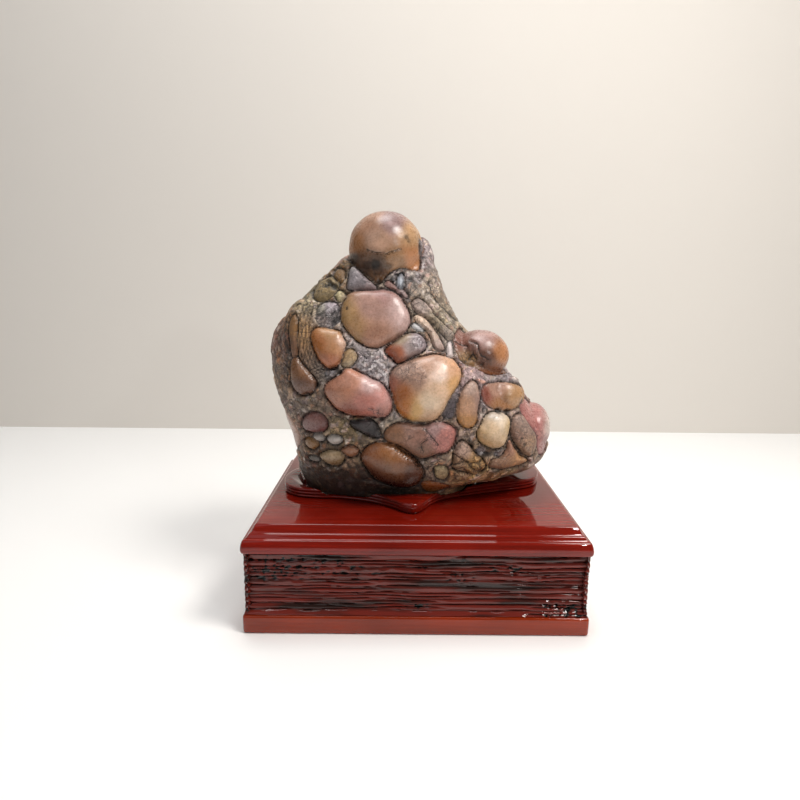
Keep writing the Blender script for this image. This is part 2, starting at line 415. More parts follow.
# Pits and stains: across, up, radius, depth and how much they darken
PITS = [
    (-5.6, 182.2, 1.6, 0.0, 0.6), (-4.4, 180.2, 1.2, 0.0, 0.55), (-36.0, 145.2, 0.8, 0.6, 0.9),
    (-21.3, 168.5, 2.6, 0.5, 0.85), (-33.0, 171.5, 3.0, 0.2, 0.6), (-26.0, 168.0, 2.6, 0.3, 0.5),
    (-14.0, 168.0, 1.8, 0.3, 0.5), (-20.0, 160.0, 1.6, 0.3, 0.8), (-44.6, 158.3, 1.6, 1.0, 0.9),
    (-42.6, 156.8, 1.8, 1.0, 0.9), (-46.3, 157.0, 1.2, 0.8, 0.9), (-12.6, 160.3, 1.7, 1.0, 0.95),
    (-11.0, 163.2, 1.3, 0.7, 0.9), (-7.8, 153.2, 1.0, 0.5, 0.85), (-3.8, 161.0, 1.8, 0.7, 0.8),
    (2.5, 163.0, 1.2, 0.6, 0.9), (3.0, 172.0, 1.0, 0.6, 0.9), (6.2, 172.5, 0.9, 0.4, 0.7),
    (14.3, 117.6, 0.9, 0.1, 0.35), (-43.5, 113.6, 2.4, 0.9, 0.85), (-40.6, 112.2, 1.6, 0.8, 0.85),
    (-47.5, 111.5, 1.4, 0.6, 0.85), (-24.5, 113.3, 1.2, 0.5, 0.7), (-18.4, 109.4, 1.0, 0.6, 0.9),
    (-15.2, 115.6, 1.2, 0.6, 0.8), (-33.8, 127.1, 0.9, 0.5, 0.9), (-55.2, 143.4, 0.8, 0.5, 0.9),
    (-58.3, 143.4, 0.7, 0.4, 0.7), (44.5, 92.6, 1.8, 0.8, 0.85), (49.0, 92.0, 1.6, 0.7, 0.85),
    (36.5, 93.5, 1.6, 0.6, 0.6), (31.0, 73.6, 1.6, 1.0, 0.9), (34.2, 70.4, 2.2, 1.2, 0.95),
    (38.0, 68.2, 2.4, 1.0, 0.9), (43.5, 68.2, 1.3, 0.7, 0.8), (29.0, 76.3, 1.1, 0.6, 0.8),
    (-18.0, 87.6, 1.8, 0.8, 0.85), (-14.0, 86.8, 1.3, 0.5, 0.6), (56.5, 77.6, 0.9, 0.5, 0.75),
    (58.2, 74.8, 0.9, 0.5, 0.75), (51.4, 82.0, 0.9, 0.6, 0.8), (15.8, 87.8, 0.9, 0.5, 0.9),
    (-3.0, 78.6, 0.8, 0.2, 0.5), (7.0, 60.0, 1.7, 0.7, 0.7), (10.5, 58.4, 1.5, 0.6, 0.6),
    (7.5, 154.6, 0.9, 0.4, 0.5), (11.5, 143.0, 0.9, 0.3, 0.45), (-57.5, 101.0, 1.5, 0.5, 0.5),
    (-52.0, 106.0, 2.0, 0.7, 0.6), (-47.0, 93.0, 2.4, 0.5, 0.45), (26.5, 119.2, 0.8, 0.3, 0.5),
    (35.6, 117.6, 0.9, 0.5, 0.8), (-66.0, 96.0, 1.1, 0.5, 0.8), (-64.5, 88.0, 1.3, 0.4, 0.6),
]
# Patches of grey and white crystals: across, up, radius
CRYSTAL_PATCHES = [
    (-24.8, 118.0, 7.0), (-17.0, 113.0, 4.5), (-43.5, 142.0, 5.0), (-0.5, 128.5, 4.5), (-8.5, 160.0, 5.0),
    (-44.0, 113.0, 3.5), (35.0, 70.5, 3.5), (45.0, 68.0, 3.0), (-10.0, 90.0, 2.6), (1.5, 160.5, 2.6),
    (46.0, 110.0, 3.0), (3.5, 168.0, 2.5), (36.0, 95.0, 2.0),
]

OUTLINE_STEPS = 96

# Stage
CAMERA_PLACE = (-8.26, -315.09, 160.25)
CAMERA_PITCH = 11.154
CAMERA_ROLL = 0.512
CAMERA_LENS = 27.0


def linear(code):
    """Turns an sRGB hex colour into linear values."""
    values = [int(code[start:start + 2], 16) / 255.0 for start in (1, 3, 5)]
    return tuple(value / 12.92 if value <= 0.04045 else ((value + 0.055) / 1.055) ** 2.4 for value in values)


class StoneSettings(bpy.types.PropertyGroup):
    """Sizes and looks of the stone"""

    grain: FloatProperty(
        name="Mesh grain", description="Size of the stone's mesh faces", default=0.85 * MM, unit="LENGTH"
    )
    crease: FloatProperty(
        name="Crease depth", description="Depth of the crease round each cobble", default=0.7 * MM, unit="LENGTH"
    )
    clast: FloatProperty(
        name="Clast size", description="Size of the small clasts between the cobbles", default=5.4 * MM, unit="LENGTH"
    )
    seed: IntProperty(name="Seed", description="Choice of the cobbles on the sides and the back", default=SCATTER_SEED)
    brightness: FloatProperty(
        name="Brightness", description="How light the stone's colours are", default=1.0, subtype="FACTOR"
    )


class StandSettings(bpy.types.PropertyGroup):
    """Sizes and looks of the stand"""

    lacquer: FloatVectorProperty(
        name="Lacquer", description="Deep red of the boards and the seat", default=linear("#7d170b"), subtype="COLOR"
    )
    plinth: FloatVectorProperty(
        name="Plinth", description="Lighter brick red of the plinth", default=linear("#932f0d"), subtype="COLOR"
    )
    ripple: FloatVectorProperty(
        name="Ripples", description="Red of the rippled block's ridges", default=linear("#6f261e"), subtype="COLOR"
    )
    patina: FloatVectorProperty(
        name="Patina", description="Black stain in the rippled block", default=linear("#1b1916"), subtype="COLOR"
    )
    lip_reach: FloatProperty(
        name="Lips", description="How far the seat's lips stand out", default=SEAT_LIP_REACH * MM, unit="LENGTH"
    )


class StageSettings(bpy.types.PropertyGroup):
    """Floor, backdrop and light"""

    floor: FloatVectorProperty(
        name="Floor", description="Colour of the floor", default=linear("#fbfbfa"), subtype="COLOR"
    )
    wall: FloatVectorProperty(
        name="Backdrop", description="Colour of the backdrop", default=linear("#e6e1da"), subtype="COLOR"
    )
    key: FloatProperty(name="Key light", description="Strength of the main light in watts", default=3.4)


def new_piece(name, bm, sharp_angle=None):
    """Makes a closed mesh object in metres from a bmesh in millimetres."""
    bmesh.ops.recalc_face_normals(bm, faces=bm.faces)
    # A deeply carved wall can come out facing inward all over
    if bm.calc_volume(signed=True) < 0.0:
        bmesh.ops.reverse_faces(bm, faces=bm.faces)
    bmesh.ops.scale(bm, vec=(MM, MM, MM), verts=bm.verts)
    for face in bm.faces:
        face.smooth = True
    if sharp_angle is not None:
        for edge in bm.edges:
            edge.smooth = edge.calc_face_angle(0.0) < math.radians(sharp_angle)
    mesh = bpy.data.meshes.new(name)
    bm.to_mesh(mesh)
    bm.free()
    piece = bpy.data.objects.new(name, mesh)
    bpy.context.scene.collection.objects.link(piece)
    return piece


def apply_modifiers(piece):
    graph = bpy.context.evaluated_depsgraph_get()
    finished = bpy.data.meshes.new_from_object(piece.evaluated_get(graph))
    piece.modifiers.clear()
    piece.data = finished


def stands_for(piece, node, material):
    piece.data.materials.clear()
    piece.data.materials.append(material)
    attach(piece, "root")
    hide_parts(node)


def wrapped_wall(places):
    """A closed solid whose wall runs round through places[row][column], capped at the bottom and the top."""
    rows, columns = places.shape[:2]
    bm = bmesh.new()
    bmesh.ops.create_grid(bm, x_segments=columns, y_segments=rows - 1, size=1.0)
    for vert in bm.verts:
        column = round((vert.co.x + 1.0) / 2.0 * columns) % columns
        row = round((vert.co.y + 1.0) / 2.0 * (rows - 1))
        vert.co = places[row, column]
    bmesh.ops.remove_doubles(bm, verts=bm.verts, dist=0.0001)
    bmesh.ops.holes_fill(bm, edges=[edge for edge in bm.edges if edge.is_boundary], sides=0)
    return bm


# Random patterns


def cell_share(cells, seed):
    """A random share from 0 to 1 for each whole-numbered cell."""
    x, y, z = [cells[..., axis].astype(np.uint32) for axis in range(3)]
    mixed = x * np.uint32(374761393) + y * np.uint32(668265263) + z * np.uint32(2246822519)
    mixed = mixed + np.uint32(seed * 3266489 + 977)
    mixed = (mixed ^ (mixed >> np.uint32(13))) * np.uint32(1274126177)
    mixed = (mixed ^ (mixed >> np.uint32(15))) * np.uint32(2654435761)
    mixed = mixed ^ (mixed >> np.uint32(16))
    return mixed.astype(float) / 4294967295.0


def soft_noise(points, size, seed):
    """Smooth random values from -1 to 1 that change over this size."""
    scaled = points / size
    whole = np.floor(scaled).astype(np.int64)
    part = scaled - whole
    part = part * part * (3.0 - 2.0 * part)
    total = np.zeros(len(points))
    for corner in itertools.product((0, 1), repeat=3):
        weight = np.prod(np.where(np.array(corner), part, 1.0 - part), axis=1)
        total += weight * cell_share(whole + np.array(corner), seed)
    return total * 2.0 - 1.0


def rough_noise(points, size, seed, layers=4):
    total = np.zeros(len(points))
    for layer in range(layers):
        total += soft_noise(points, size / 2.0 ** layer, seed + layer) / 2.0 ** layer
    return total


def clast_cells(points, size, seed):
    """Distance to the nearest and the next clast's middle, and a random share for the nearest."""
    scaled = points / size
    whole = np.floor(scaled).astype(np.int64)
    first = np.full(len(points), 9.0)
    second = np.full(len(points), 9.0)
    share = np.zeros(len(points))
    for step in itertools.product((-1, 0, 1), repeat=3):
        cell = whole + np.array(step)
        middle = cell + np.stack([cell_share(cell, seed + axis) for axis in range(3)], axis=1)
        distance = np.linalg.norm(middle - scaled, axis=1)
        nearer = distance < first
        second = np.where(nearer, first, np.minimum(second, distance))
        share = np.where(nearer, cell_share(cell, seed + 3), share)
        first = np.where(nearer, distance, first)
    return first * size, second * size, share


def ease(values, start, end):
    share = np.clip((values - start) / (end - start), 0.0, 1.0)
    return share * share * (3.0 - 2.0 * share)


# Stone


def body_section(height, step=0.0):
    """Left, right, front and back of the stone's body at this height, eased over a step."""
    heights = [row[0] for row in BODY_SECTIONS]
    sides = []
    for column in range(1, 5):
        values = [row[column] for row in BODY_SECTIONS]
        reads = [np.interp(height + shift, heights, values) for shift in (-step, 0.0, step)]
        sides.append(sum(reads) / 3.0)
    return sides


def body_point(height, angle, size=1.0, grow=0.0, step=0.0):
    left, right, front, back = body_section(height, step)
    across = np.cos(angle)
    deep = np.sin(angle)
    power = BODY_SQUARENESS
    reach = (np.abs(across) ** power + np.abs(deep) ** power) ** (-1.0 / power)
    x = (left + right) / 2 + across * reach * size * ((right - left) / 2 + grow)
    y = (front + back) / 2 + deep * reach * size * ((back - front) / 2 + grow)
    return x, y


def stone_body(columns, rings, cap_rings, step):
    """The stone's main mass: a sphere's rings moved onto the sections, flat underneath."""
    bm = bmesh.new()
    bmesh.ops.create_uvsphere(bm, u_segments=columns, v_segments=rings, radius=1.0)
    low = BODY_SECTIONS[0][0]
    high = BODY_SECTIONS[-1][0]
    for vert in bm.verts:
        ring = round(math.acos(max(-1.0, min(1.0, -vert.co.z))) / math.pi * rings)
        angle = math.atan2(vert.co.y, vert.co.x)
        if ring <= cap_rings:
            height = low
            size = ring / cap_rings
        elif ring >= rings - cap_rings:
            size = (rings - ring) / cap_rings
            height = high + 4.0 * (1.0 - size * size)
        else:
            share = (ring - cap_rings) / (rings - 2 * cap_rings)
            height = low + share * (high - low)
            size = 1.0
        x, y = body_point(height, angle, size, 0.0, step)
        vert.co = (x, y, height)
    bmesh.ops.recalc_face_normals(bm, faces=bm.faces)
    return bm


def boulder_turn(lean):
    return Matrix.Rotation(math.radians(-lean), 4, "Y")


def stone_mass(grain):
    """Body and boulders fused into one even skin, in metres."""
    bm = stone_body(150, 150, 15, SECTION_EASE)
    for _, place, half_sizes, lean in BOULDERS:
        matrix = Matrix.Translation(place) @ boulder_turn(lean) @ Matrix.Diagonal((*half_sizes, 1.0))
        bmesh.ops.create_icosphere(bm, subdivisions=5, radius=1.0, matrix=matrix)
    piece = new_piece("conglomerate_stone", bm)
    fuse = piece.modifiers.new("fuse", "REMESH")
    fuse.mode = "VOXEL"
    fuse.voxel_size = grain
    even = piece.modifiers.new("even", "SMOOTH")
    even.factor = 0.5
    even.iterations = 3
    apply_modifiers(piece)
    return piece


def seen_from_front(points):
    """Across and up on the middle plane, as seen from the front."""
    eye_x, eye_y, eye_z = FRONT_EYE
    share = -eye_y / (points[:, 1] - eye_y)
    return eye_x + (points[:, 0] - eye_x) * share, eye_z + (points[:, 2] - eye_z) * share


def outline_reach(corners):
    """Middle of an outline and its reach from there in evenly spaced directions."""
    middle = np.mean(corners, axis=0)
    curve = smooth_outline(corners, 12 * len(corners)) - middle
    angles = np.arctan2(curve[:, 1], curve[:, 0])
    order = np.argsort(angles)
    directions = np.arange(OUTLINE_STEPS) * 2.0 * math.pi / OUTLINE_STEPS
    reach = np.interp(directions, angles[order], np.hypot(curve[:, 0], curve[:, 1])[order], period=2.0 * math.pi)
    return middle, (np.roll(reach, 1) + 2.0 * reach + np.roll(reach, -1)) / 4.0


def outline_gap(across, up, reach):
    """Distance outside an outline with these reaches, and how far out towards its rim each point is."""
    directions = np.arange(OUTLINE_STEPS) * 2.0 * math.pi / OUTLINE_STEPS
    angle = np.arctan2(up, across)
    distance = np.hypot(across, up)
    slope = (np.roll(reach, -1) - np.roll(reach, 1)) / (directions[2] - directions[0])
    reach_here = np.interp(angle, directions, reach, period=2.0 * math.pi)
    slope_here = np.interp(angle, directions, slope, period=2.0 * math.pi)
    gap = (distance - reach_here) / np.sqrt(1.0 + (slope_here / reach_here) ** 2)
    return gap, distance / reach_here


def ellipse_reach(half_width, half_height, lean):
    angles = np.arange(OUTLINE_STEPS) * 2.0 * math.pi / OUTLINE_STEPS - math.radians(lean)
    return 1.0 / np.sqrt((np.cos(angles) / half_width) ** 2 + (np.sin(angles) / half_height) ** 2)


class Cobble:
    """One cobble as the stone's skin sees it: how far outside its rim each point is, and where it lies on it."""

    def __init__(self, name, gap, rim_share, across, up, rise):
        self.name = name
        self.gap = gap
        self.rim_share = rim_share
        self.across = across
        self.up = up
        self.rise = rise
        self.flatness = FLATNESS.get(name, 2.2)
        self.roughness = ROUGHNESS.get(name, 0.0)


def boulder_fields(points):
    """Distance outside, and outward direction, of each boulder and of the ground, at each point."""
    fields = {"ground": []}
    for name, place, half_sizes, lean in BOULDERS:
        turn = np.array(boulder_turn(lean).to_3x3())
        local = (points - np.array(place)) @ turn
        inner = local / np.array(half_sizes)
        outer = inner / np.array(half_sizes)
        size = np.linalg.norm(inner, axis=1)
        slope = np.linalg.norm(outer, axis=1)
        away = (outer / slope[:, None]) @ turn.T
        fields.setdefault(name, []).append((size * (size - 1.0) / slope, away))
    fields["ground"].append(body_field(points))
    joined = {}
    for name, parts in fields.items():
        distances = np.stack([part[0] for part in parts])
        nearest = distances.argmin(axis=0)
        every = np.arange(len(points))
        aways = np.stack([part[1] for part in parts])
        joined[name] = (distances[nearest, every], aways[nearest, every])
    return joined


def body_share(points):
    left, right, front, back = body_section(points[:, 2], SECTION_EASE)
    across = np.abs(points[:, 0] - (left + right) / 2) / ((right - left) / 2)
    deep = np.abs(points[:, 1] - (front + back) / 2) / ((back - front) / 2)
    side = (across ** BODY_SQUARENESS + deep ** BODY_SQUARENESS) ** (1.0 / BODY_SQUARENESS)
    return side + np.clip(points[:, 2] - BODY_SECTIONS[-1][0], 0.0, None) / 10.0


def body_field(points):
    step = 0.5
    here = body_share(points)
    slope = np.zeros_like(points)
    for axis in range(3):
        moved = points.copy()
        moved[:, axis] += step
        slope[:, axis] = (body_share(moved) - here) / step
    steepness = np.linalg.norm(slope, axis=1) + 0.000001
    return (here - 1.0) / steepness, slope / steepness[:, None]


def boulder_cobbles(points, in_front):
    fields = boulder_fields(points)
    seen_across, seen_up = seen_from_front(points)
    cobbles = []
    for name, place, half_sizes, _ in BOULDERS:
        if name == "ground":
            continue
        distance, away = fields[name]
        rest = [field for other, field in fields.items() if other != name]
        distances = np.stack([field[0] for field in rest])
        nearest = distances.argmin(axis=0)
        every = np.arange(len(points))
        rest_away = np.stack([field[1] for field in rest])[nearest, every]
        spread = np.maximum(0.35, np.linalg.norm(away - rest_away, axis=1))
        gap = (distance - distances[nearest, every]) / spread
        middle, reach = outline_reach(OUTLINES[name])
        front_gap, rim_share = outline_gap(seen_across - middle[0], seen_up - middle[1], reach)
        gap = gap + in_front * (front_gap - gap)
        cobbles.append(Cobble(name, gap, rim_share, seen_across, seen_up, 0.0))
    return cobbles


def front_cobbles(points, in_front):
    seen_across, seen_up = seen_from_front(points)
    hidden = 12.0 * (1.0 - in_front)
    shapes = [(name, rise, (across, up), ellipse_reach(half_width, half_height, lean))
              for name, across, up, half_width, half_height, lean, rise in FRONT_COBBLES if name not in OUTLINES]
    shapes += [(name, rise, *outline_reach(OUTLINES[name]))
               for name, _, _, _, _, _, rise in FRONT_COBBLES if name in OUTLINES]
    shapes += [(name, rise, *outline_reach(OUTLINES[name])) for name, rise in LOW_COBBLES.items()]
    cobbles = []
    for name, rise, middle, reach in shapes:
        gap, rim_share = outline_gap(seen_across - middle[0], seen_up - middle[1], reach)
        cobbles.append(Cobble(name, gap + hidden, rim_share, seen_across, seen_up, rise))
    return cobbles


def scattered_places(seed):
    """Places of the cobbles on the sides and the back: spot, outward, half sizes, lean and rise."""
    bm = stone_body(64, 60, 6, 0.0)
    tree = BVHTree.FromBMesh(bm)
    spots = [face.calc_center_median() for face in bm.faces]
    normals = [face.normal.copy() for face in bm.faces]
    bm.free()
    eye = Vector(FRONT_EYE)
    taken = [(Vector(place), max(half_sizes)) for _, place, half_sizes, _ in BOULDERS]
    for _, across, up, half_width, half_height, _, _ in FRONT_COBBLES:
        sight = Vector((across, 0.0, up)) - eye
        spot = tree.ray_cast(eye, sight.normalized())[0]
        taken.append((spot, max(half_width, half_height)))
    chooser = random.Random(seed)
    places = []
    for size in OTHER_COBBLE_SIZES:
        for _ in range(SCATTER_TRIES):
            pick = chooser.randrange(len(spots))
            spot = spots[pick]
            faces_front = normals[pick].dot((eye - spot).normalized())
            too_low = spot.z < OVERHANG_LOWEST + 0.75 * size
            crowded = any((spot - other).length < COBBLE_SPACING * (size + reach) for other, reach in taken)
            if faces_front > -0.05 or too_low or crowded:
                continue
            half_height = size * chooser.uniform(0.7, 0.95)
            lean = chooser.uniform(-90.0, 90.0)
            rise = size * chooser.uniform(0.2, 0.32) * (0.3 + 0.55 * min(1.0, -1.6 * min(0.0, faces_front)))
            places.append((spot, normals[pick], size, half_height, lean, rise))
            taken.append((spot, size))
            break
    return places


def scattered_cobbles(points, normals, seed):
    shaper = np.random.default_rng(seed)
    cobbles = []
    for number, (spot, outward, half_width, half_height, lean, rise) in enumerate(scattered_places(seed)):
        across = Vector((0, 0, 1)).cross(outward)
        if across.length < 0.2:
            across = Vector((1, 0, 0))
        across.normalize()
        upward = outward.cross(across).normalized()
        offset = points - np.array(spot)
        from_across = offset @ np.array(across)
        from_up = offset @ np.array(upward)
        reach = ellipse_reach(half_width, half_height, lean)
        waves = np.arange(OUTLINE_STEPS) * 2.0 * math.pi / OUTLINE_STEPS
        for count, swell in ((2, 0.06), (3, 0.08), (5, 0.04)):
            reach = reach * (1.0 + swell * np.sin(count * waves + shaper.uniform(0, 2.0 * math.pi)))
        gap, rim_share = outline_gap(from_across, from_up, reach)
        facing = normals @ np.array(outward)
        far = np.abs(offset @ np.array(outward)) > 0.9 * half_width + 4.0
        gap = gap + 12.0 * (1.0 - ease(facing, 0.05, 0.3)) + 30.0 * far
        cobble = Cobble("other", gap, rim_share, from_across / half_width, from_up / half_height, rise)
        cobble.number = number
        cobble.flatness = shaper.uniform(2.2, 4.5)
        cobble.roughness = shaper.choice([0.0, 0.0, 0.1, 0.4, 0.8])
        cobbles.append(cobble)
    return cobbles


def line_gap(across, up, line):
    """Distance from a line through these points, and on which side of it."""
    best = np.full(len(across), np.inf)
    side = np.ones(len(across))
    for (x0, z0), (x1, z1) in zip(line, line[1:]):
        run = (x1 - x0) ** 2 + (z1 - z0) ** 2
        share = np.clip(((across - x0) * (x1 - x0) + (up - z0) * (z1 - z0)) / run, 0.0, 1.0)
        gap = np.hypot(across - x0 - share * (x1 - x0), up - z0 - share * (z1 - z0))
        turn = (x1 - x0) * (up - z0) - (z1 - z0) * (across - x0)
        side = np.where(gap < best, np.sign(turn), side)
        best = np.minimum(best, gap)
    return best, side


def colour_spots(cobble, chooser):
    """Linear colours of one cobble at each point, from the few colours placed on it."""
    if cobble.name == "other":
        pair = OTHER_COLOURS[cobble.number * 5 % len(OTHER_COLOURS)]
        angle = chooser.uniform(0.0, 2.0 * math.pi)
        spots = [(math.cos(angle) * 0.6, math.sin(angle) * 0.6, pair[0]), (-math.cos(angle), -math.sin(angle), pair[1])]
        reach = 0.6
    else:
        spots = COBBLE_COLOURS[cobble.name]
        places = np.array([spot[:2] for spot in spots])
        widest = np.linalg.norm(places - places.mean(axis=0), axis=1).max()
        reach = min(4.5, max(1.5, 0.42 * widest))
    total = np.zeros((len(cobble.across), 3))
    weights = np.zeros(len(cobble.across))
    for across, up, code in spots:
        gap = (cobble.across - across) ** 2 + (cobble.up - up) ** 2
        weight = 1.0 / (0.1 + (gap / reach ** 2) ** 2)
        total += weight[:, None] * np.array(linear(code))
        weights += weight
    return total / weights[:, None]


def ground_colours(points, across, up, lightness):
    """Linear colours of the ground between the cobbles; lightness from 0 to 1 picks between dark and light."""
    total = np.zeros((len(points), 3))
    weights = np.full(len(points), 0.000001)
    for middle_across, middle_up, reach, light, dark in GROUND_COLOURS:
        gap = (across - middle_across) ** 2 + (up - middle_up) ** 2
        weight = 1.0 / (1.0 + (gap / reach ** 2) ** 2)
        mixed = np.array(linear(dark)) + lightness[:, None] * (np.array(linear(light)) - np.array(linear(dark)))
        total += weight[:, None] * mixed
        weights += weight
    return total / weights[:, None]


def keep_clear_of_seat(points):
    """Only the foot reaches into the seat; whatever overhangs it stays above the seat's top."""
    left, right, front, back = body_section(FOOT_TOP)
    low = points[:, 2] < OVERHANG_LOWEST
    across = np.abs(points[:, 0] - (left + right) / 2) / ((right - left) / 2 + 0.4)
    deep = np.abs(points[:, 1] - (front + back) / 2) / ((back - front) / 2 + 0.4)
    outside = across ** BODY_SQUARENESS + deep ** BODY_SQUARENESS > 1.0
    points[low & outside, 2] = OVERHANG_LOWEST
    bottom = points[:, 2] < BODY_SECTIONS[0][0] + 0.5
    points[bottom, 2] = BODY_SECTIONS[0][0]


def shape_stone(piece, settings):
    """Raises the cobbles, presses in creases, cracks and pits, and paints the stone's own colours."""
    mesh = piece.data
    count = len(mesh.vertices)
    points = np.zeros(count * 3)
    mesh.vertices.foreach_get("co", points)
    points = points.reshape(-1, 3) / MM
    normals = np.zeros(count * 3)
    mesh.vertex_normals.foreach_get("vector", normals)
    normals = normals.reshape(-1, 3)
    across, up = seen_from_front(points)
    sight = np.array(FRONT_EYE) - points
    sight /= np.linalg.norm(sight, axis=1)[:, None]
    in_front = ease((normals * sight).sum(axis=1), 0.02, 0.2)

    wobble = np.stack([rough_noise(points, 7.0, 40 + axis, 3) for axis in range(3)], axis=1)
    warped = points + wobble * 0.45
    cobbles = boulder_cobbles(warped, in_front) + front_cobbles(warped, in_front)
    cobbles += scattered_cobbles(warped, normals, settings.seed)
    gaps = np.stack([cobble.gap for cobble in cobbles])
    order = np.argsort(gaps, axis=0)[:2]
    every = np.arange(count)
    first = gaps[order[0], every]
    second = gaps[order[1], every]
    inside = first < 0.0
    rim = np.where(inside, np.minimum(-first, (second - first) / 2.0), -first)

    rise = np.zeros(count)
    grit = np.zeros(count)
    for number, cobble in enumerate(cobbles):
        own = inside & (order[0] == number)
        share = np.clip(cobble.rim_share[own], 0.0, 1.0)
        dome = cobble.rise * (1.0 - share ** cobble.flatness) ** 0.65
        edge = np.clip(rim[own] / 2.6, 0.0, 1.0)
        rise[own] = np.minimum(dome, cobble.rise) * np.sqrt(1.0 - (1.0 - edge) ** 2)
        grit[own] = cobble.roughness
    for worn_across, worn_up, radius, rough in WORN_PATCHES:
        gap = np.hypot(across - worn_across + wobble[:, 0] * 1.5, up - worn_up + wobble[:, 1] * 1.5) / radius
        grit = np.maximum(grit, rough * (1.0 - ease(gap, 0.55, 1.1)) * in_front)
    ground = 1.0 - ease(rim, -0.5, 0.4)
    grit = np.maximum(grit, ground)
    crease = settings.crease / MM
    groove = -crease * np.exp(-(rim / 0.6) ** 2)

    stretched = points + wobble * 1.6
    near, far, clast_pick = clast_cells(stretched, settings.clast / MM, 71)
    small_near, small_far, small_pick = clast_cells(stretched, settings.clast / MM * 0.4, 91)
    clast_dome = 1.0 - np.exp(-(far - near) / 0.7)
    small_dome = 1.0 - np.exp(-(small_far - small_near) / 0.4)
    bank = np.exp(-((rim + 1.5) / 1.1) ** 2)
    relief = ground * (0.55 + 0.7 * clast_dome * (clast_pick - 0.15) + 0.3 * bank)
    relief += grit * (0.2 * small_dome + 0.26 * rough_noise(points, 3.2, 11))
    relief += 0.45 * rough_noise(points, 16.0, 21, 2) + 0.14 * (1.0 - grit) * rough_noise(points, 5.0, 25, 2)

    crack_gap = np.full(count, 3.0)
    for half_width, depth, line in CRACKS:
        gap, side = line_gap(across + wobble[:, 0] * 0.6, up + wobble[:, 2] * 0.6, line)
        gap = gap + 3.0 * (1.0 - in_front)
        relief -= depth * np.exp(-(gap / (half_width + 0.35)) ** 2)
        share = gap * side / half_width
        crack_gap = np.where(np.abs(share) < np.abs(crack_gap), share, crack_gap)
    pit_dark = np.zeros(count)
    for pit_across, pit_up, radius, depth, dark in PITS:
        gap = np.hypot(across - pit_across + wobble[:, 0] * 0.7, up - pit_up + wobble[:, 1] * 0.7) / radius
        strength = (1.0 - ease(gap, 0.5, 1.3)) * in_front
        relief -= depth * strength
        pit_dark = np.maximum(pit_dark, dark * strength)

    rib_gap, rib_side = line_gap(across, up, RIB_LINE)
    rib_here = (1.0 - ease(rib_gap, RIB_REACH * 0.6, RIB_REACH)) * in_front * ground
    rib_wave = np.cos(2.0 * math.pi * (rib_gap * rib_side + wobble[:, 1] * 0.7) / RIB_SPACING)
    relief = relief * (1.0 - 0.6 * rib_here) + rib_here * (0.3 * rib_wave + 0.2)

    foot = ease(points[:, 2], 57.5, 64.0)
    shift = (rise + groove + relief) * foot
    points = points + normals * shift[:, None]
    keep_clear_of_seat(points)
    mesh.vertices.foreach_set("co", (points * MM).ravel())

    sparkle = np.zeros(count)
    for patch_across, patch_up, radius in CRYSTAL_PATCHES:
        gap = np.hypot(across - patch_across + wobble[:, 2] * 2.0, up - patch_up + wobble[:, 0] * 2.0) / radius
        sparkle = np.maximum(sparkle, (1.0 - ease(gap, 0.6, 1.2)) * in_front * grit)
    sparkle = np.maximum(sparkle, ground * ease(rough_noise(points, 14.0, 61, 2), 0.5, 1.0) * (1.0 - in_front))

    lightness = 0.66 + 0.5 * (clast_pick - 0.5) + 0.34 * (small_pick - 0.5) + 0.2 * rough_noise(points, 2.4, 31, 3)
    lightness += 0.2 * rough_noise(points, 11.0, 35, 2) + 0.22 * bank
    seams = (0.5 + 0.5 * clast_dome) * (0.78 + 0.22 * small_dome)
    lightness = np.clip(lightness * seams * 1.25, 0.0, 1.3)
    lightness = lightness * (1.0 - rib_here) + rib_here * (0.6 + 0.4 * rib_wave)
    colours = ground_colours(points, across, up, lightness)
    odd = (clast_pick * 7.31 + small_pick * 0.35) % 1.0
    shades = ["#a5693f", "#b9a58f", "#55494a", "#8b5b50", "#cbbfb6", "#a08a8c", "#7d6a4f", "#b08f74"]
    for number, code in enumerate(shades):
        start = number / len(shades)
        chosen = ground * ((odd >= start) & (odd < start + 0.07)) * (1.0 - rib_here) * ease(far - near, 0.1, 0.6)
        colours += 0.42 * chosen[:, None] * (np.array(linear(code)) * (0.5 + lightness[:, None]) - colours)
    chooser = random.Random(settings.seed)
    tints = colours.copy()
    for number, cobble in enumerate(cobbles):
        own = inside & (order[0] == number)
        painted = colour_spots(cobble, chooser)
        tints[own] = painted[own]
    blend = ease(rim, -0.35, 0.35)[:, None]
    tints = colours * (1.0 - blend) + tints * blend
    tints *= (0.85 + 0.25 * lightness * grit + 0.15 * (1.0 - grit))[:, None]
    tints *= (1.0 - pit_dark)[:, None]
    tints *= settings.brightness

    deep = ease(68.0 - up, 0.0, 14.0) * ease(-across, -12.0, 8.0) * in_front
    tints *= (1.0 - 0.75 * deep)[:, None]
    set_attribute(mesh, "rim", rim)
    set_attribute(mesh, "grit", grit)
    set_attribute(mesh, "crack", crack_gap)
    set_attribute(mesh, "sparkle", sparkle)
    tint = mesh.attributes.new("tint", "FLOAT_COLOR", "POINT")
    tint.data.foreach_set("color", np.column_stack([tints, np.ones(count)]).astype(np.float32).ravel())
    mesh.update()


def set_attribute(mesh, name, values):
    attribute = mesh.attributes.new(name, "FLOAT", "POINT")
    attribute.data.foreach_set("value", values.astype(np.float32))


# Stand


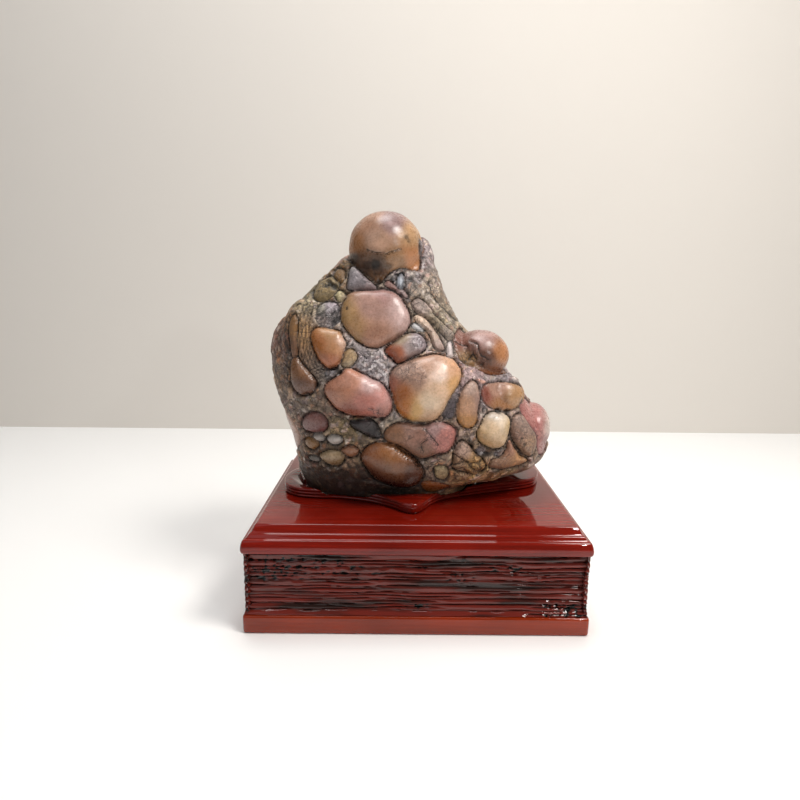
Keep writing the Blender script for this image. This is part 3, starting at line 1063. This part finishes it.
def rounded_rectangle(inset, radius, spacing, corner_steps=5):
    """Points round the stand's outline at this inset, from the front right corner on, with outward directions."""
    half_width = STAND_WIDTH / 2 - inset
    half_depth = STAND_DEPTH / 2 - inset
    places = []
    outwards = []
    for side, (side_x, side_y) in enumerate([(1, -1), (1, 1), (-1, 1), (-1, -1)]):
        start = math.radians(90.0 * side - 90.0)
        middle = np.array([side_x * (half_width - radius), side_y * (half_depth - radius)])
        for step in range(corner_steps + 1):
            angle = start + math.radians(90.0) * step / corner_steps
            direction = np.array([math.cos(angle), math.sin(angle)])
            places.append(middle + radius * direction)
            outwards.append(direction)
        length = 2.0 * (half_depth if side % 2 == 0 else half_width) - 2.0 * radius
        steps = max(1, round((length + 2.0 * inset) / spacing))
        along = np.array([-outwards[-1][1], outwards[-1][0]])
        corner = places[-1]
        direction = outwards[-1]
        for step in range(1, steps):
            places.append(corner + along * length * step / steps)
            outwards.append(direction)
    return np.array(places), np.array(outwards)


def moulded_board(name, profile):
    rings = []
    for height, inset in profile:
        places, _ = rounded_rectangle(inset, max(0.6, CORNER_RADIUS - 0.5 * inset), 16.0)
        rings.append(np.column_stack([places, np.full(len(places), height)]))
    return new_piece(name, wrapped_wall(np.array(rings)), 50.0)


def block_inset(height):
    """How far the rippled block's face lies inside the stand's outline at this height."""
    share = (height - PLINTH_TOP) / (BLOCK_TOP - PLINTH_TOP)
    waist = BLOCK_WAIST * math.sin(math.pi * share)
    flare = BLOCK_FLARE * max(0.0, 1.0 - share / 0.14) ** 2
    return BLOCK_INSET + waist - flare


def rippled_block():
    """The block between the boards, carved all round into wavering layers."""
    places, outwards = rounded_rectangle(0.0, 1.0, BLOCK_SPACING)
    low = PLINTH_TOP + GAP
    high = BLOCK_TOP - GAP
    rows = np.linspace(low, high, BLOCK_ROWS)
    columns = len(places)
    wanders = []
    for height in GROOVE_HEIGHTS:
        spots = [Vector((x, y, height * 4.0)) / GROOVE_WAVELENGTH for x, y in places]
        wanders.append(height + GROOVE_WANDER * np.array([noise.noise(spot) for spot in spots]))
    lines = np.array([np.full(columns, low - 1.2)] + wanders + [np.full(columns, high + 1.0)])
    rings = []
    hollows = []
    for height in rows:
        level = (lines <= height).sum(axis=0) - 1
        every = np.arange(columns)
        below = lines[level, every]
        above = lines[level + 1, every]
        share = (height - below) / (above - below)
        around = np.column_stack([places, np.full(columns, height)])
        layer = np.column_stack([places / 26.0, level * 7.7])
        strength = 0.75 + 0.45 * soft_noise(layer, 1.0, 3)
        bulge = np.sqrt(np.clip(1.0 - (2.0 * share - 1.0) ** 2, 0.0, 1.0))
        split_at = 0.5 + 0.3 * soft_noise(layer + 31.0, 1.0, 5)
        split_on = ease(soft_noise(layer * 0.8 + 11.0, 1.0, 7), -0.1, 0.5)
        split = split_on * np.exp(-((share - split_at) * (above - below) / 0.38) ** 2)
        fine = rough_noise(around * np.array([0.05, 0.05, 0.45]), 1.0, 9, 3)
        pitted = ease(soft_noise(around * np.array([0.045, 0.045, 0.16]), 1.0, 13), 0.25, 0.6)
        pits = pitted * np.clip(soft_noise(around, 1.3, 17), 0.0, 1.0)
        hollow = np.clip((1.0 - bulge) * strength * 1.15 + 0.7 * split, 0.0, 1.5)
        depth = block_inset(height) - 0.35 + GROOVE_DEPTH * hollow + 0.28 * fine + 1.1 * pits
        edge = min(height - low, high - height)
        depth = np.where(edge < 0.25, block_inset(height), depth)
        point = places - outwards * depth[:, None]
        rings.append(np.column_stack([point, np.full(columns, height)]))
        hollows.append(np.clip(hollow + pits, 0.0, 1.0))
    bm = wrapped_wall(np.array(rings))
    piece = new_piece("carved_rippled_block", bm, 75.0)
    mesh = piece.data
    points = np.zeros(len(mesh.vertices) * 3)
    mesh.vertices.foreach_get("co", points)
    points = points.reshape(-1, 3) / MM
    lookup = {}
    for ring, hollow in zip(rings, hollows):
        for place, value in zip(np.round(ring, 3), hollow):
            lookup[tuple(place)] = value
    values = np.array([lookup.get(tuple(place), 0.0) for place in np.round(points, 3)])
    set_attribute(mesh, "hollow", values)
    return piece


def smooth_outline(corners, count):
    """Evenly numbered points on a closed curve through the given corners."""
    corners = np.array(corners)
    place = np.arange(count) * len(corners) / count
    index = np.floor(place).astype(int)
    share = (place - index)[:, None]
    p0, p1, p2, p3 = [corners[(index + step) % len(corners)] for step in (-1, 0, 1, 2)]
    points = 2.0 * p1 + (p2 - p0) * share + (2.0 * p0 - 5.0 * p1 + 4.0 * p2 - p3) * share ** 2
    return (points + (3.0 * p1 - p0 - 3.0 * p2 + p3) * share ** 3) / 2.0


def carved_seat(lip_reach):
    """The collar the stone stands in: stacked lips that fan out at its ends and die away to a smooth nose."""
    outline = smooth_outline(SEAT_OUTLINE, SEAT_POINTS)
    ahead = np.roll(outline, -1, axis=0) - np.roll(outline, 1, axis=0)
    ahead = ahead[:, :2] / np.linalg.norm(ahead[:, :2], axis=1)[:, None]
    outward = np.column_stack([ahead[:, 1], -ahead[:, 0]])
    strength = outline[:, 2]
    bottom = PLATFORM_TOP + GAP
    rings = []
    for row in range(SEAT_ROWS + 1):
        share = row / SEAT_ROWS
        lip = share * SEAT_LIPS
        part = min(lip - int(min(lip, SEAT_LIPS - 0.001)), 1.0)
        round_out = math.sqrt(max(0.0, 1.0 - (2.0 * part - 1.0) ** 2))
        lipped = lip_reach * (round_out - 0.75)
        smooth_wall = 0.35 - 1.6 * abs(share - 0.45) ** 3 * 4.0
        offset = strength * lipped + (1.0 - strength) * smooth_wall
        if row == 0:
            offset = offset - 0.4
        if row == SEAT_ROWS:
            offset = offset - 0.3
        lift = 0.0 if row == 0 else share
        height = bottom + lift * (SEAT_TOP - bottom)
        ring = outline[:, :2] + outward * offset[:, None]
        rings.append(np.column_stack([ring, np.full(SEAT_POINTS, height)]))
    seat = new_piece("carved_seat", wrapped_wall(np.array(rings)), 40.0)
    pocket_rings = []
    angles = np.arange(120) * 2.0 * math.pi / 120
    for height, play in ((POCKET_FLOOR, POCKET_FLOOR_PLAY), (SEAT_TOP + 1.0, POCKET_RIM_PLAY)):
        x, y = body_point(FOOT_TOP, angles, 1.0, play)
        pocket_rings.append(np.column_stack([x, y, np.full(len(angles), height)]))
    pocket = new_piece("pocket_cutter", wrapped_wall(np.array(pocket_rings)))
    cut = seat.modifiers.new("pocket", "BOOLEAN")
    cut.operation = "DIFFERENCE"
    cut.solver = "EXACT"
    cut.object = pocket
    apply_modifiers(seat)
    bpy.data.objects.remove(pocket)
    return seat


# Materials


def add_node(tree, kind, inputs=None, **properties):
    """Adds a node with its properties; each input is a value, or another node's output to link."""
    node = tree.nodes.new(kind)
    for name, value in properties.items():
        setattr(node, name, value)
    for name, value in (inputs or {}).items():
        if isinstance(value, bpy.types.NodeSocket):
            tree.links.new(value, node.inputs[name])
        else:
            node.inputs[name].default_value = value
    return node


def new_material(name):
    material = bpy.data.materials.new(name)
    material.use_nodes = True
    return material, material.node_tree, material.node_tree.nodes["Principled BSDF"]


def multiply(tree, colour, factor):
    mix = add_node(tree, "ShaderNodeMix", {0: 1.0, 6: colour, 7: factor}, data_type="RGBA", blend_type="MULTIPLY")
    return mix.outputs[2]


def remap(tree, value, low, high, to_low=0.0, to_high=1.0):
    node = add_node(
        tree, "ShaderNodeMapRange",
        {"Value": value, "From Min": low, "From Max": high, "To Min": to_low, "To Max": to_high},
    )
    return node.outputs["Result"]


def conglomerate_material():
    """Water-worn conglomerate, hand polished: smooth waxy cobbles in a rough, gritty ground."""
    material, tree, surface = new_material("polished_conglomerate")
    place = add_node(tree, "ShaderNodeTexCoord").outputs["Object"]
    tint = add_node(tree, "ShaderNodeAttribute", attribute_name="tint").outputs["Color"]
    rim = add_node(tree, "ShaderNodeAttribute", attribute_name="rim").outputs["Fac"]
    grit = add_node(tree, "ShaderNodeAttribute", attribute_name="grit").outputs["Fac"]
    crack = add_node(tree, "ShaderNodeAttribute", attribute_name="crack").outputs["Fac"]
    sparkle = add_node(tree, "ShaderNodeAttribute", attribute_name="sparkle").outputs["Fac"]

    # Cloudy mottling about 6 mm across, fine specks 1.2 mm across and grains of 1.1 mm
    cloud = add_node(
        tree, "ShaderNodeTexNoise", {"Vector": place, "Scale": 1 / (6 * MM), "Detail": 6.0, "Roughness": 0.68}
    ).outputs["Fac"]
    speck = add_node(
        tree, "ShaderNodeTexNoise", {"Vector": place, "Scale": 1 / (1.2 * MM), "Detail": 4.0, "Roughness": 0.7}
    ).outputs["Fac"]
    shaken = add_node(
        tree, "ShaderNodeVectorMath", {0: speck, 1: (0.9 * MM, 0.9 * MM, 0.9 * MM), 2: place},
        operation="MULTIPLY_ADD",
    ).outputs["Vector"]
    grain = add_node(tree, "ShaderNodeTexVoronoi", {"Vector": shaken, "Scale": 1 / (1.1 * MM)})
    seam = add_node(
        tree, "ShaderNodeTexVoronoi", {"Vector": shaken, "Scale": 1 / (3.4 * MM)}, feature="DISTANCE_TO_EDGE"
    ).outputs["Distance"]
    grain_pick = add_node(tree, "ShaderNodeSeparateColor", {"Color": grain.outputs["Color"]}).outputs["Red"]

    clouded = multiply(tree, tint, remap(tree, cloud, 0.28, 0.72, 0.72, 1.24))
    # Specks and grains lighten and darken the ground strongly and the cobbles a little
    speck_swing = remap(tree, speck, 0.3, 0.7, -0.5, 0.5)
    grain_swing = remap(tree, grain_pick, 0.0, 1.0, -0.32, 0.32)
    swing = add_node(tree, "ShaderNodeMath", {0: speck_swing, 1: grain_swing}, operation="ADD").outputs[0]
    reach = remap(tree, grit, 0.0, 1.0, 0.12, 0.85)
    fleck = add_node(tree, "ShaderNodeMath", {0: swing, 1: reach, 2: 1.0}, operation="MULTIPLY_ADD").outputs[0]
    flecked = multiply(tree, clouded, fleck)
    # Fine dark seams between the clasts of the ground, broken off here and there
    seam_line = remap(tree, seam, 0.015, 0.07, 1.0, 0.0)
    seam_here = remap(tree, cloud, 0.42, 0.55)
    seam_ground = add_node(tree, "ShaderNodeMath", {0: seam_here, 1: grit}, operation="MULTIPLY").outputs[0]
    seam_dark = add_node(tree, "ShaderNodeMath", {0: seam_line, 1: seam_ground}, operation="MULTIPLY").outputs[0]
    seamed = multiply(tree, flecked, remap(tree, seam_dark, 0.0, 1.0, 1.0, 0.35))
    crystal_ramp = add_node(tree, "ShaderNodeValToRGB", {"Fac": grain_pick})
    stops = [(0.0, "#332e30"), (0.35, "#756b6e"), (0.7, "#a99fa3"), (1.0, "#e6e1e3")]
    while len(crystal_ramp.color_ramp.elements) < len(stops):
        crystal_ramp.color_ramp.elements.new(0.5)
    for element, (spot, code) in zip(crystal_ramp.color_ramp.elements, stops):
        element.position = spot
        element.color = (*linear(code), 1.0)
    crystal_mask = add_node(tree, "ShaderNodeMath", {0: sparkle, 1: 0.55}, operation="MULTIPLY").outputs[0]
    crystalled = add_node(
        tree, "ShaderNodeMix", {0: crystal_mask, 6: seamed, 7: crystal_ramp.outputs["Color"]}, data_type="RGBA",
    ).outputs[2]
    # Dirt in the crease round each cobble: a dark line that breaks up, inside a softer shadow
    rim_size = add_node(tree, "ShaderNodeMath", {0: rim}, operation="ABSOLUTE").outputs[0]
    rim_frayed = add_node(tree, "ShaderNodeMath", {0: speck_swing, 1: 0.7, 2: rim_size}, operation="MULTIPLY_ADD")
    creased = multiply(tree, crystalled, remap(tree, rim_frayed.outputs[0], 0.0, 0.5, 0.2, 1.0))
    shaded = multiply(tree, creased, remap(tree, rim_size, 0.2, 1.4, 0.82, 1.0))
    crack_size = add_node(tree, "ShaderNodeMath", {0: crack}, operation="ABSOLUTE").outputs[0]
    crack_frayed = add_node(tree, "ShaderNodeMath", {0: speck_swing, 1: 1.6, 2: crack_size}, operation="MULTIPLY_ADD")
    cracked = multiply(tree, shaded, remap(tree, crack_frayed.outputs[0], 0.4, 1.3, 0.25, 1.0))
    tree.links.new(cracked, surface.inputs["Base Color"])

    gloss = remap(tree, grit, 0.0, 1.0, 0.29, 0.5)
    gloss_varied = add_node(tree, "ShaderNodeMath", {0: speck_swing, 1: 0.16, 2: gloss}, operation="MULTIPLY_ADD")
    tree.links.new(gloss_varied.outputs[0], surface.inputs["Roughness"])
    surface.inputs["IOR"].default_value = 1.54

    bump_reach = remap(tree, grit, 0.0, 1.0, 0.1, 0.8)
    fine_height = add_node(tree, "ShaderNodeMath", {0: speck, 1: bump_reach}, operation="MULTIPLY").outputs[0]
    seam_height = add_node(tree, "ShaderNodeMath", {0: seam_dark, 1: -0.5, 2: fine_height}, operation="MULTIPLY_ADD")
    grain_height = add_node(
        tree, "ShaderNodeMath", {0: grain_pick, 1: crystal_mask, 2: seam_height.outputs[0]}, operation="MULTIPLY_ADD"
    )
    bump = add_node(
        tree, "ShaderNodeBump", {"Height": grain_height.outputs[0], "Strength": 0.9, "Distance": 0.6 * MM}
    )
    tree.links.new(bump.outputs["Normal"], surface.inputs["Normal"])
    return material


def lacquer_material(name, colour, shade):
    """Rosewood under thick clear lacquer: a deep even red with faint long grain and mirror-like gloss."""
    material, tree, surface = new_material(name)
    place = add_node(tree, "ShaderNodeTexCoord").outputs["Object"]
    # Grain lines about 1 mm apart and 40 mm long, running across the front
    along = add_node(tree, "ShaderNodeMapping", {"Vector": place, "Scale": (0.03, 1.0, 1.0)})
    grain = add_node(
        tree, "ShaderNodeTexNoise",
        {"Vector": along.outputs[0], "Scale": 1 / (1.1 * MM), "Detail": 4.0, "Roughness": 0.6},
    )
    cloud = add_node(
        tree, "ShaderNodeTexNoise", {"Vector": place, "Scale": 1 / (45 * MM), "Detail": 2.0, "Roughness": 0.5}
    )
    ramp = add_node(tree, "ShaderNodeValToRGB", {"Fac": grain.outputs["Fac"]})
    ramp.color_ramp.elements[0].position = 0.3
    ramp.color_ramp.elements[0].color = (*[value * shade for value in colour], 1.0)
    ramp.color_ramp.elements[1].position = 0.62
    ramp.color_ramp.elements[1].color = (*colour, 1.0)
    cloud_light = add_node(
        tree, "ShaderNodeMapRange",
        {"Value": cloud.outputs["Fac"], "From Min": 0.3, "From Max": 0.7, "To Min": 0.75, "To Max": 1.25},
    )
    clouded = add_node(
        tree, "ShaderNodeMix", {0: 1.0, 6: ramp.outputs["Color"], 7: cloud_light.outputs["Result"]},
        data_type="RGBA", blend_type="MULTIPLY",
    )
    tree.links.new(clouded.outputs[2], surface.inputs["Base Color"])
    surface.inputs["Roughness"].default_value = 0.45
    surface.inputs["IOR"].default_value = 1.5
    surface.inputs["Specular IOR Level"].default_value = 0.0
    surface.inputs["Coat Weight"].default_value = 1.0
    surface.inputs["Coat Roughness"].default_value = 0.015
    surface.inputs["Coat IOR"].default_value = 1.5
    ripple = add_node(
        tree, "ShaderNodeTexNoise", {"Vector": place, "Scale": 1 / (14 * MM), "Detail": 1.0, "Roughness": 0.4}
    )
    bump = add_node(
        tree, "ShaderNodeBump", {"Height": ripple.outputs["Fac"], "Strength": 0.05, "Distance": 0.4 * MM}
    )
    tree.links.new(bump.outputs["Normal"], surface.inputs["Coat Normal"])
    return material


def rippled_material(colour, patina):
    """Carved rosewood with black stain rubbed into its hollows, lacquered over: red ridges, black seams, sharp glints."""
    material, tree, surface = new_material("stained_carved_rosewood")
    place = add_node(tree, "ShaderNodeTexCoord").outputs["Object"]
    hollow = add_node(tree, "ShaderNodeAttribute", attribute_name="hollow").outputs["Fac"]
    # Stain in drifts about 7 mm high and 60 mm long
    banded = add_node(tree, "ShaderNodeMapping", {"Vector": place, "Scale": (0.11, 0.11, 1.0)})
    band = add_node(
        tree, "ShaderNodeTexNoise",
        {"Vector": banded.outputs[0], "Scale": 1 / (7 * MM), "Detail": 3.0, "Roughness": 0.6},
    )
    band_dark = add_node(
        tree, "ShaderNodeMapRange",
        {"Value": band.outputs["Fac"], "From Min": 0.47, "From Max": 0.6, "To Min": 0.0, "To Max": 0.9},
    )
    hollow_dark = add_node(
        tree, "ShaderNodeMapRange", {"Value": hollow, "From Min": 0.25, "From Max": 0.7}
    )
    dark = add_node(
        tree, "ShaderNodeMath", {0: band_dark.outputs["Result"], 1: hollow_dark.outputs["Result"]},
        operation="MAXIMUM",
    )
    mixed = add_node(
        tree, "ShaderNodeMix", {0: dark.outputs[0], 6: (*colour, 1.0), 7: (*patina, 1.0)}, data_type="RGBA"
    )
    seam_light = add_node(
        tree, "ShaderNodeMapRange",
        {"Value": hollow, "From Min": 0.55, "From Max": 0.95, "To Min": 1.0, "To Max": 0.12},
    )
    finished = add_node(
        tree, "ShaderNodeMix", {0: 1.0, 6: mixed.outputs[2], 7: seam_light.outputs["Result"]},
        data_type="RGBA", blend_type="MULTIPLY",
    )
    tree.links.new(finished.outputs[2], surface.inputs["Base Color"])
    surface.inputs["Roughness"].default_value = 0.4
    surface.inputs["IOR"].default_value = 1.5
    surface.inputs["Specular IOR Level"].default_value = 0.0
    surface.inputs["Coat Weight"].default_value = 1.0
    surface.inputs["Coat Roughness"].default_value = 0.04
    surface.inputs["Coat IOR"].default_value = 1.5
    fine = add_node(
        tree, "ShaderNodeTexNoise", {"Vector": place, "Scale": 1 / (1.2 * MM), "Detail": 2.0, "Roughness": 0.5}
    )
    bump = add_node(
        tree, "ShaderNodeBump", {"Height": fine.outputs["Fac"], "Strength": 0.2, "Distance": 0.2 * MM}
    )
    tree.links.new(bump.outputs["Normal"], surface.inputs["Coat Normal"])
    return material


def plain_material(name, colour, roughness):
    material, _, surface = new_material(name)
    surface.inputs["Base Color"].default_value = (*colour, 1.0)
    surface.inputs["Roughness"].default_value = roughness
    return material


# Operators


class VIEWINGSTONE_OT_stone(bpy.types.Operator):
    """Builds the conglomerate stone with its cobbles, creases, cracks and gritty ground"""

    bl_idname = "viewing_stone.stone"
    bl_label = "Stone"

    def execute(self, context):
        settings = context.scene.viewing_stone
        piece = stone_mass(settings.grain)
        shape_stone(piece, settings)
        stands_for(piece, "stone", conglomerate_material())
        return {"FINISHED"}


class VIEWINGSTONE_OT_boards(bpy.types.Operator):
    """Builds the moulded top board and the plinth board"""

    bl_idname = "viewing_stone.boards"
    bl_label = "Moulded boards"

    def execute(self, context):
        settings = context.scene.viewing_stone_stand
        top = moulded_board("moulded_top_board", SLAB_PROFILE)
        stands_for(top, "top_board", lacquer_material("red_lacquered_rosewood", settings.lacquer, 0.6))
        plinth = moulded_board("moulded_plinth_board", PLINTH_PROFILE)
        stands_for(
            plinth, "plinth_board",
            lacquer_material("brick_lacquered_rosewood", settings.plinth, 0.75),
        )
        return {"FINISHED"}


class VIEWINGSTONE_OT_block(bpy.types.Operator):
    """Builds the rippled block between the boards"""

    bl_idname = "viewing_stone.block"
    bl_label = "Rippled block"

    def execute(self, context):
        settings = context.scene.viewing_stone_stand
        piece = rippled_block()
        stands_for(piece, "rippled_body", rippled_material(settings.ripple, settings.patina))
        return {"FINISHED"}


class VIEWINGSTONE_OT_seat(bpy.types.Operator):
    """Builds the carved seat the stone stands in"""

    bl_idname = "viewing_stone.seat"
    bl_label = "Carved seat"

    def execute(self, context):
        settings = context.scene.viewing_stone_stand
        piece = carved_seat(settings.lip_reach / MM)
        stands_for(piece, "seat", lacquer_material("carved_lacquered_rosewood", settings.lacquer, 0.6))
        return {"FINISHED"}


class VIEWINGSTONE_OT_stage(bpy.types.Operator):
    """Sets up the floor, the backdrop, the lights and the camera"""

    bl_idname = "viewing_stone.stage"
    bl_label = "Stage"

    def execute(self, context):
        settings = context.scene.viewing_stone_stage
        scene = context.scene
        bm = bmesh.new()
        bmesh.ops.create_grid(bm, x_segments=1, y_segments=1, size=2500.0)
        floor = new_piece("floor", bm)
        floor.data.materials.append(plain_material("matt_white_table", settings.floor, 0.6))
        bm = bmesh.new()
        bmesh.ops.create_grid(bm, x_segments=1, y_segments=1, size=1500.0)
        bmesh.ops.rotate(bm, cent=(0, 0, 0), matrix=Matrix.Rotation(math.radians(90.0), 3, "X"), verts=bm.verts)
        bmesh.ops.translate(bm, vec=(0.0, 326.0, 1499.0), verts=bm.verts)
        wall = new_piece("backdrop", bm)
        wall.data.materials.append(plain_material("matt_pale_backdrop", settings.wall, 0.8))

        world = bpy.data.worlds.new("studio")
        world.use_nodes = True
        backdrop = world.node_tree.nodes["Background"]
        backdrop.inputs["Color"].default_value = (*linear("#d9d4ce"), 1.0)
        backdrop.inputs["Strength"].default_value = 0.14
        scene.world = world

        add_light("key", (346.0, -230.0, 640.0), (0.0, 0.0, 100.0), 220.0, settings.key, "#fffaf4")
        add_light("fill", (-500.0, -450.0, 600.0), (0.0, 0.0, 60.0), 600.0, settings.key * 0.2, "#f6f8ff")
        add_light("overhead", (-60.0, 60.0, 1000.0), (-60.0, 0.0, 0.0), 500.0, settings.key * 1.35, "#ffffff")
        add_light("glint", (260.0, -420.0, 300.0), (40.0, -60.0, 40.0), 16.0, settings.key * 0.08, "#ffffff")

        camera = bpy.data.objects.new("camera", bpy.data.cameras.new("camera"))
        scene.collection.objects.link(camera)
        camera.data.lens = CAMERA_LENS
        camera.data.sensor_width = 36.0
        camera.data.clip_start = 0.01
        camera.location = Vector(CAMERA_PLACE) * MM
        look = Matrix.Rotation(math.radians(90.0 - CAMERA_PITCH), 3, "X")
        turn = Matrix.Rotation(math.radians(CAMERA_ROLL), 3, "Z")
        camera.rotation_euler = (look @ turn).to_euler()
        scene.camera = camera
        scene.view_settings.view_transform = "Standard"
        return {"FINISHED"}


def add_light(name, place, target, size, power, code):
    light = bpy.data.lights.new(name, "AREA")
    light.shape = "SQUARE"
    light.size = size * MM
    light.energy = power
    light.color = linear(code)
    lamp = bpy.data.objects.new(name, light)
    bpy.context.scene.collection.objects.link(lamp)
    lamp.location = Vector(place) * MM
    direction = Vector(target) - Vector(place)
    lamp.rotation_euler = direction.to_track_quat("-Z", "Y").to_euler()


class VIEWINGSTONE_PT_panel(bpy.types.Panel):
    """Lists the pieces of the viewing stone"""

    bl_idname = "VIEWINGSTONE_PT_panel"
    bl_label = "Viewing Stone"
    bl_space_type = "VIEW_3D"
    bl_region_type = "UI"
    bl_category = "Viewing Stone"

    def draw(self, context):
        layout = self.layout
        for group, operators in (
            (context.scene.viewing_stone, ("viewing_stone.stone",)),
            (
                context.scene.viewing_stone_stand,
                ("viewing_stone.boards", "viewing_stone.block", "viewing_stone.seat"),
            ),
            (context.scene.viewing_stone_stage, ("viewing_stone.stage",)),
        ):
            box = layout.box()
            for name in group.__annotations__:
                box.prop(group, name)
            for operator in operators:
                box.operator(operator)


CLASSES = (
    StoneSettings,
    StandSettings,
    StageSettings,
    VIEWINGSTONE_OT_stone,
    VIEWINGSTONE_OT_boards,
    VIEWINGSTONE_OT_block,
    VIEWINGSTONE_OT_seat,
    VIEWINGSTONE_OT_stage,
    VIEWINGSTONE_PT_panel,
)


def register():
    for item in CLASSES:
        bpy.utils.register_class(item)
    bpy.types.Scene.viewing_stone = PointerProperty(type=StoneSettings)
    bpy.types.Scene.viewing_stone_stand = PointerProperty(type=StandSettings)
    bpy.types.Scene.viewing_stone_stage = PointerProperty(type=StageSettings)


def unregister():
    del bpy.types.Scene.viewing_stone_stage
    del bpy.types.Scene.viewing_stone_stand
    del bpy.types.Scene.viewing_stone
    for item in reversed(CLASSES):
        bpy.utils.unregister_class(item)


def main():
    register()
    bpy.ops.viewing_stone.stage()
    bpy.ops.viewing_stone.boards()
    bpy.ops.viewing_stone.block()
    bpy.ops.viewing_stone.seat()
    bpy.ops.viewing_stone.stone()


if __name__ == "__main__":
    main()
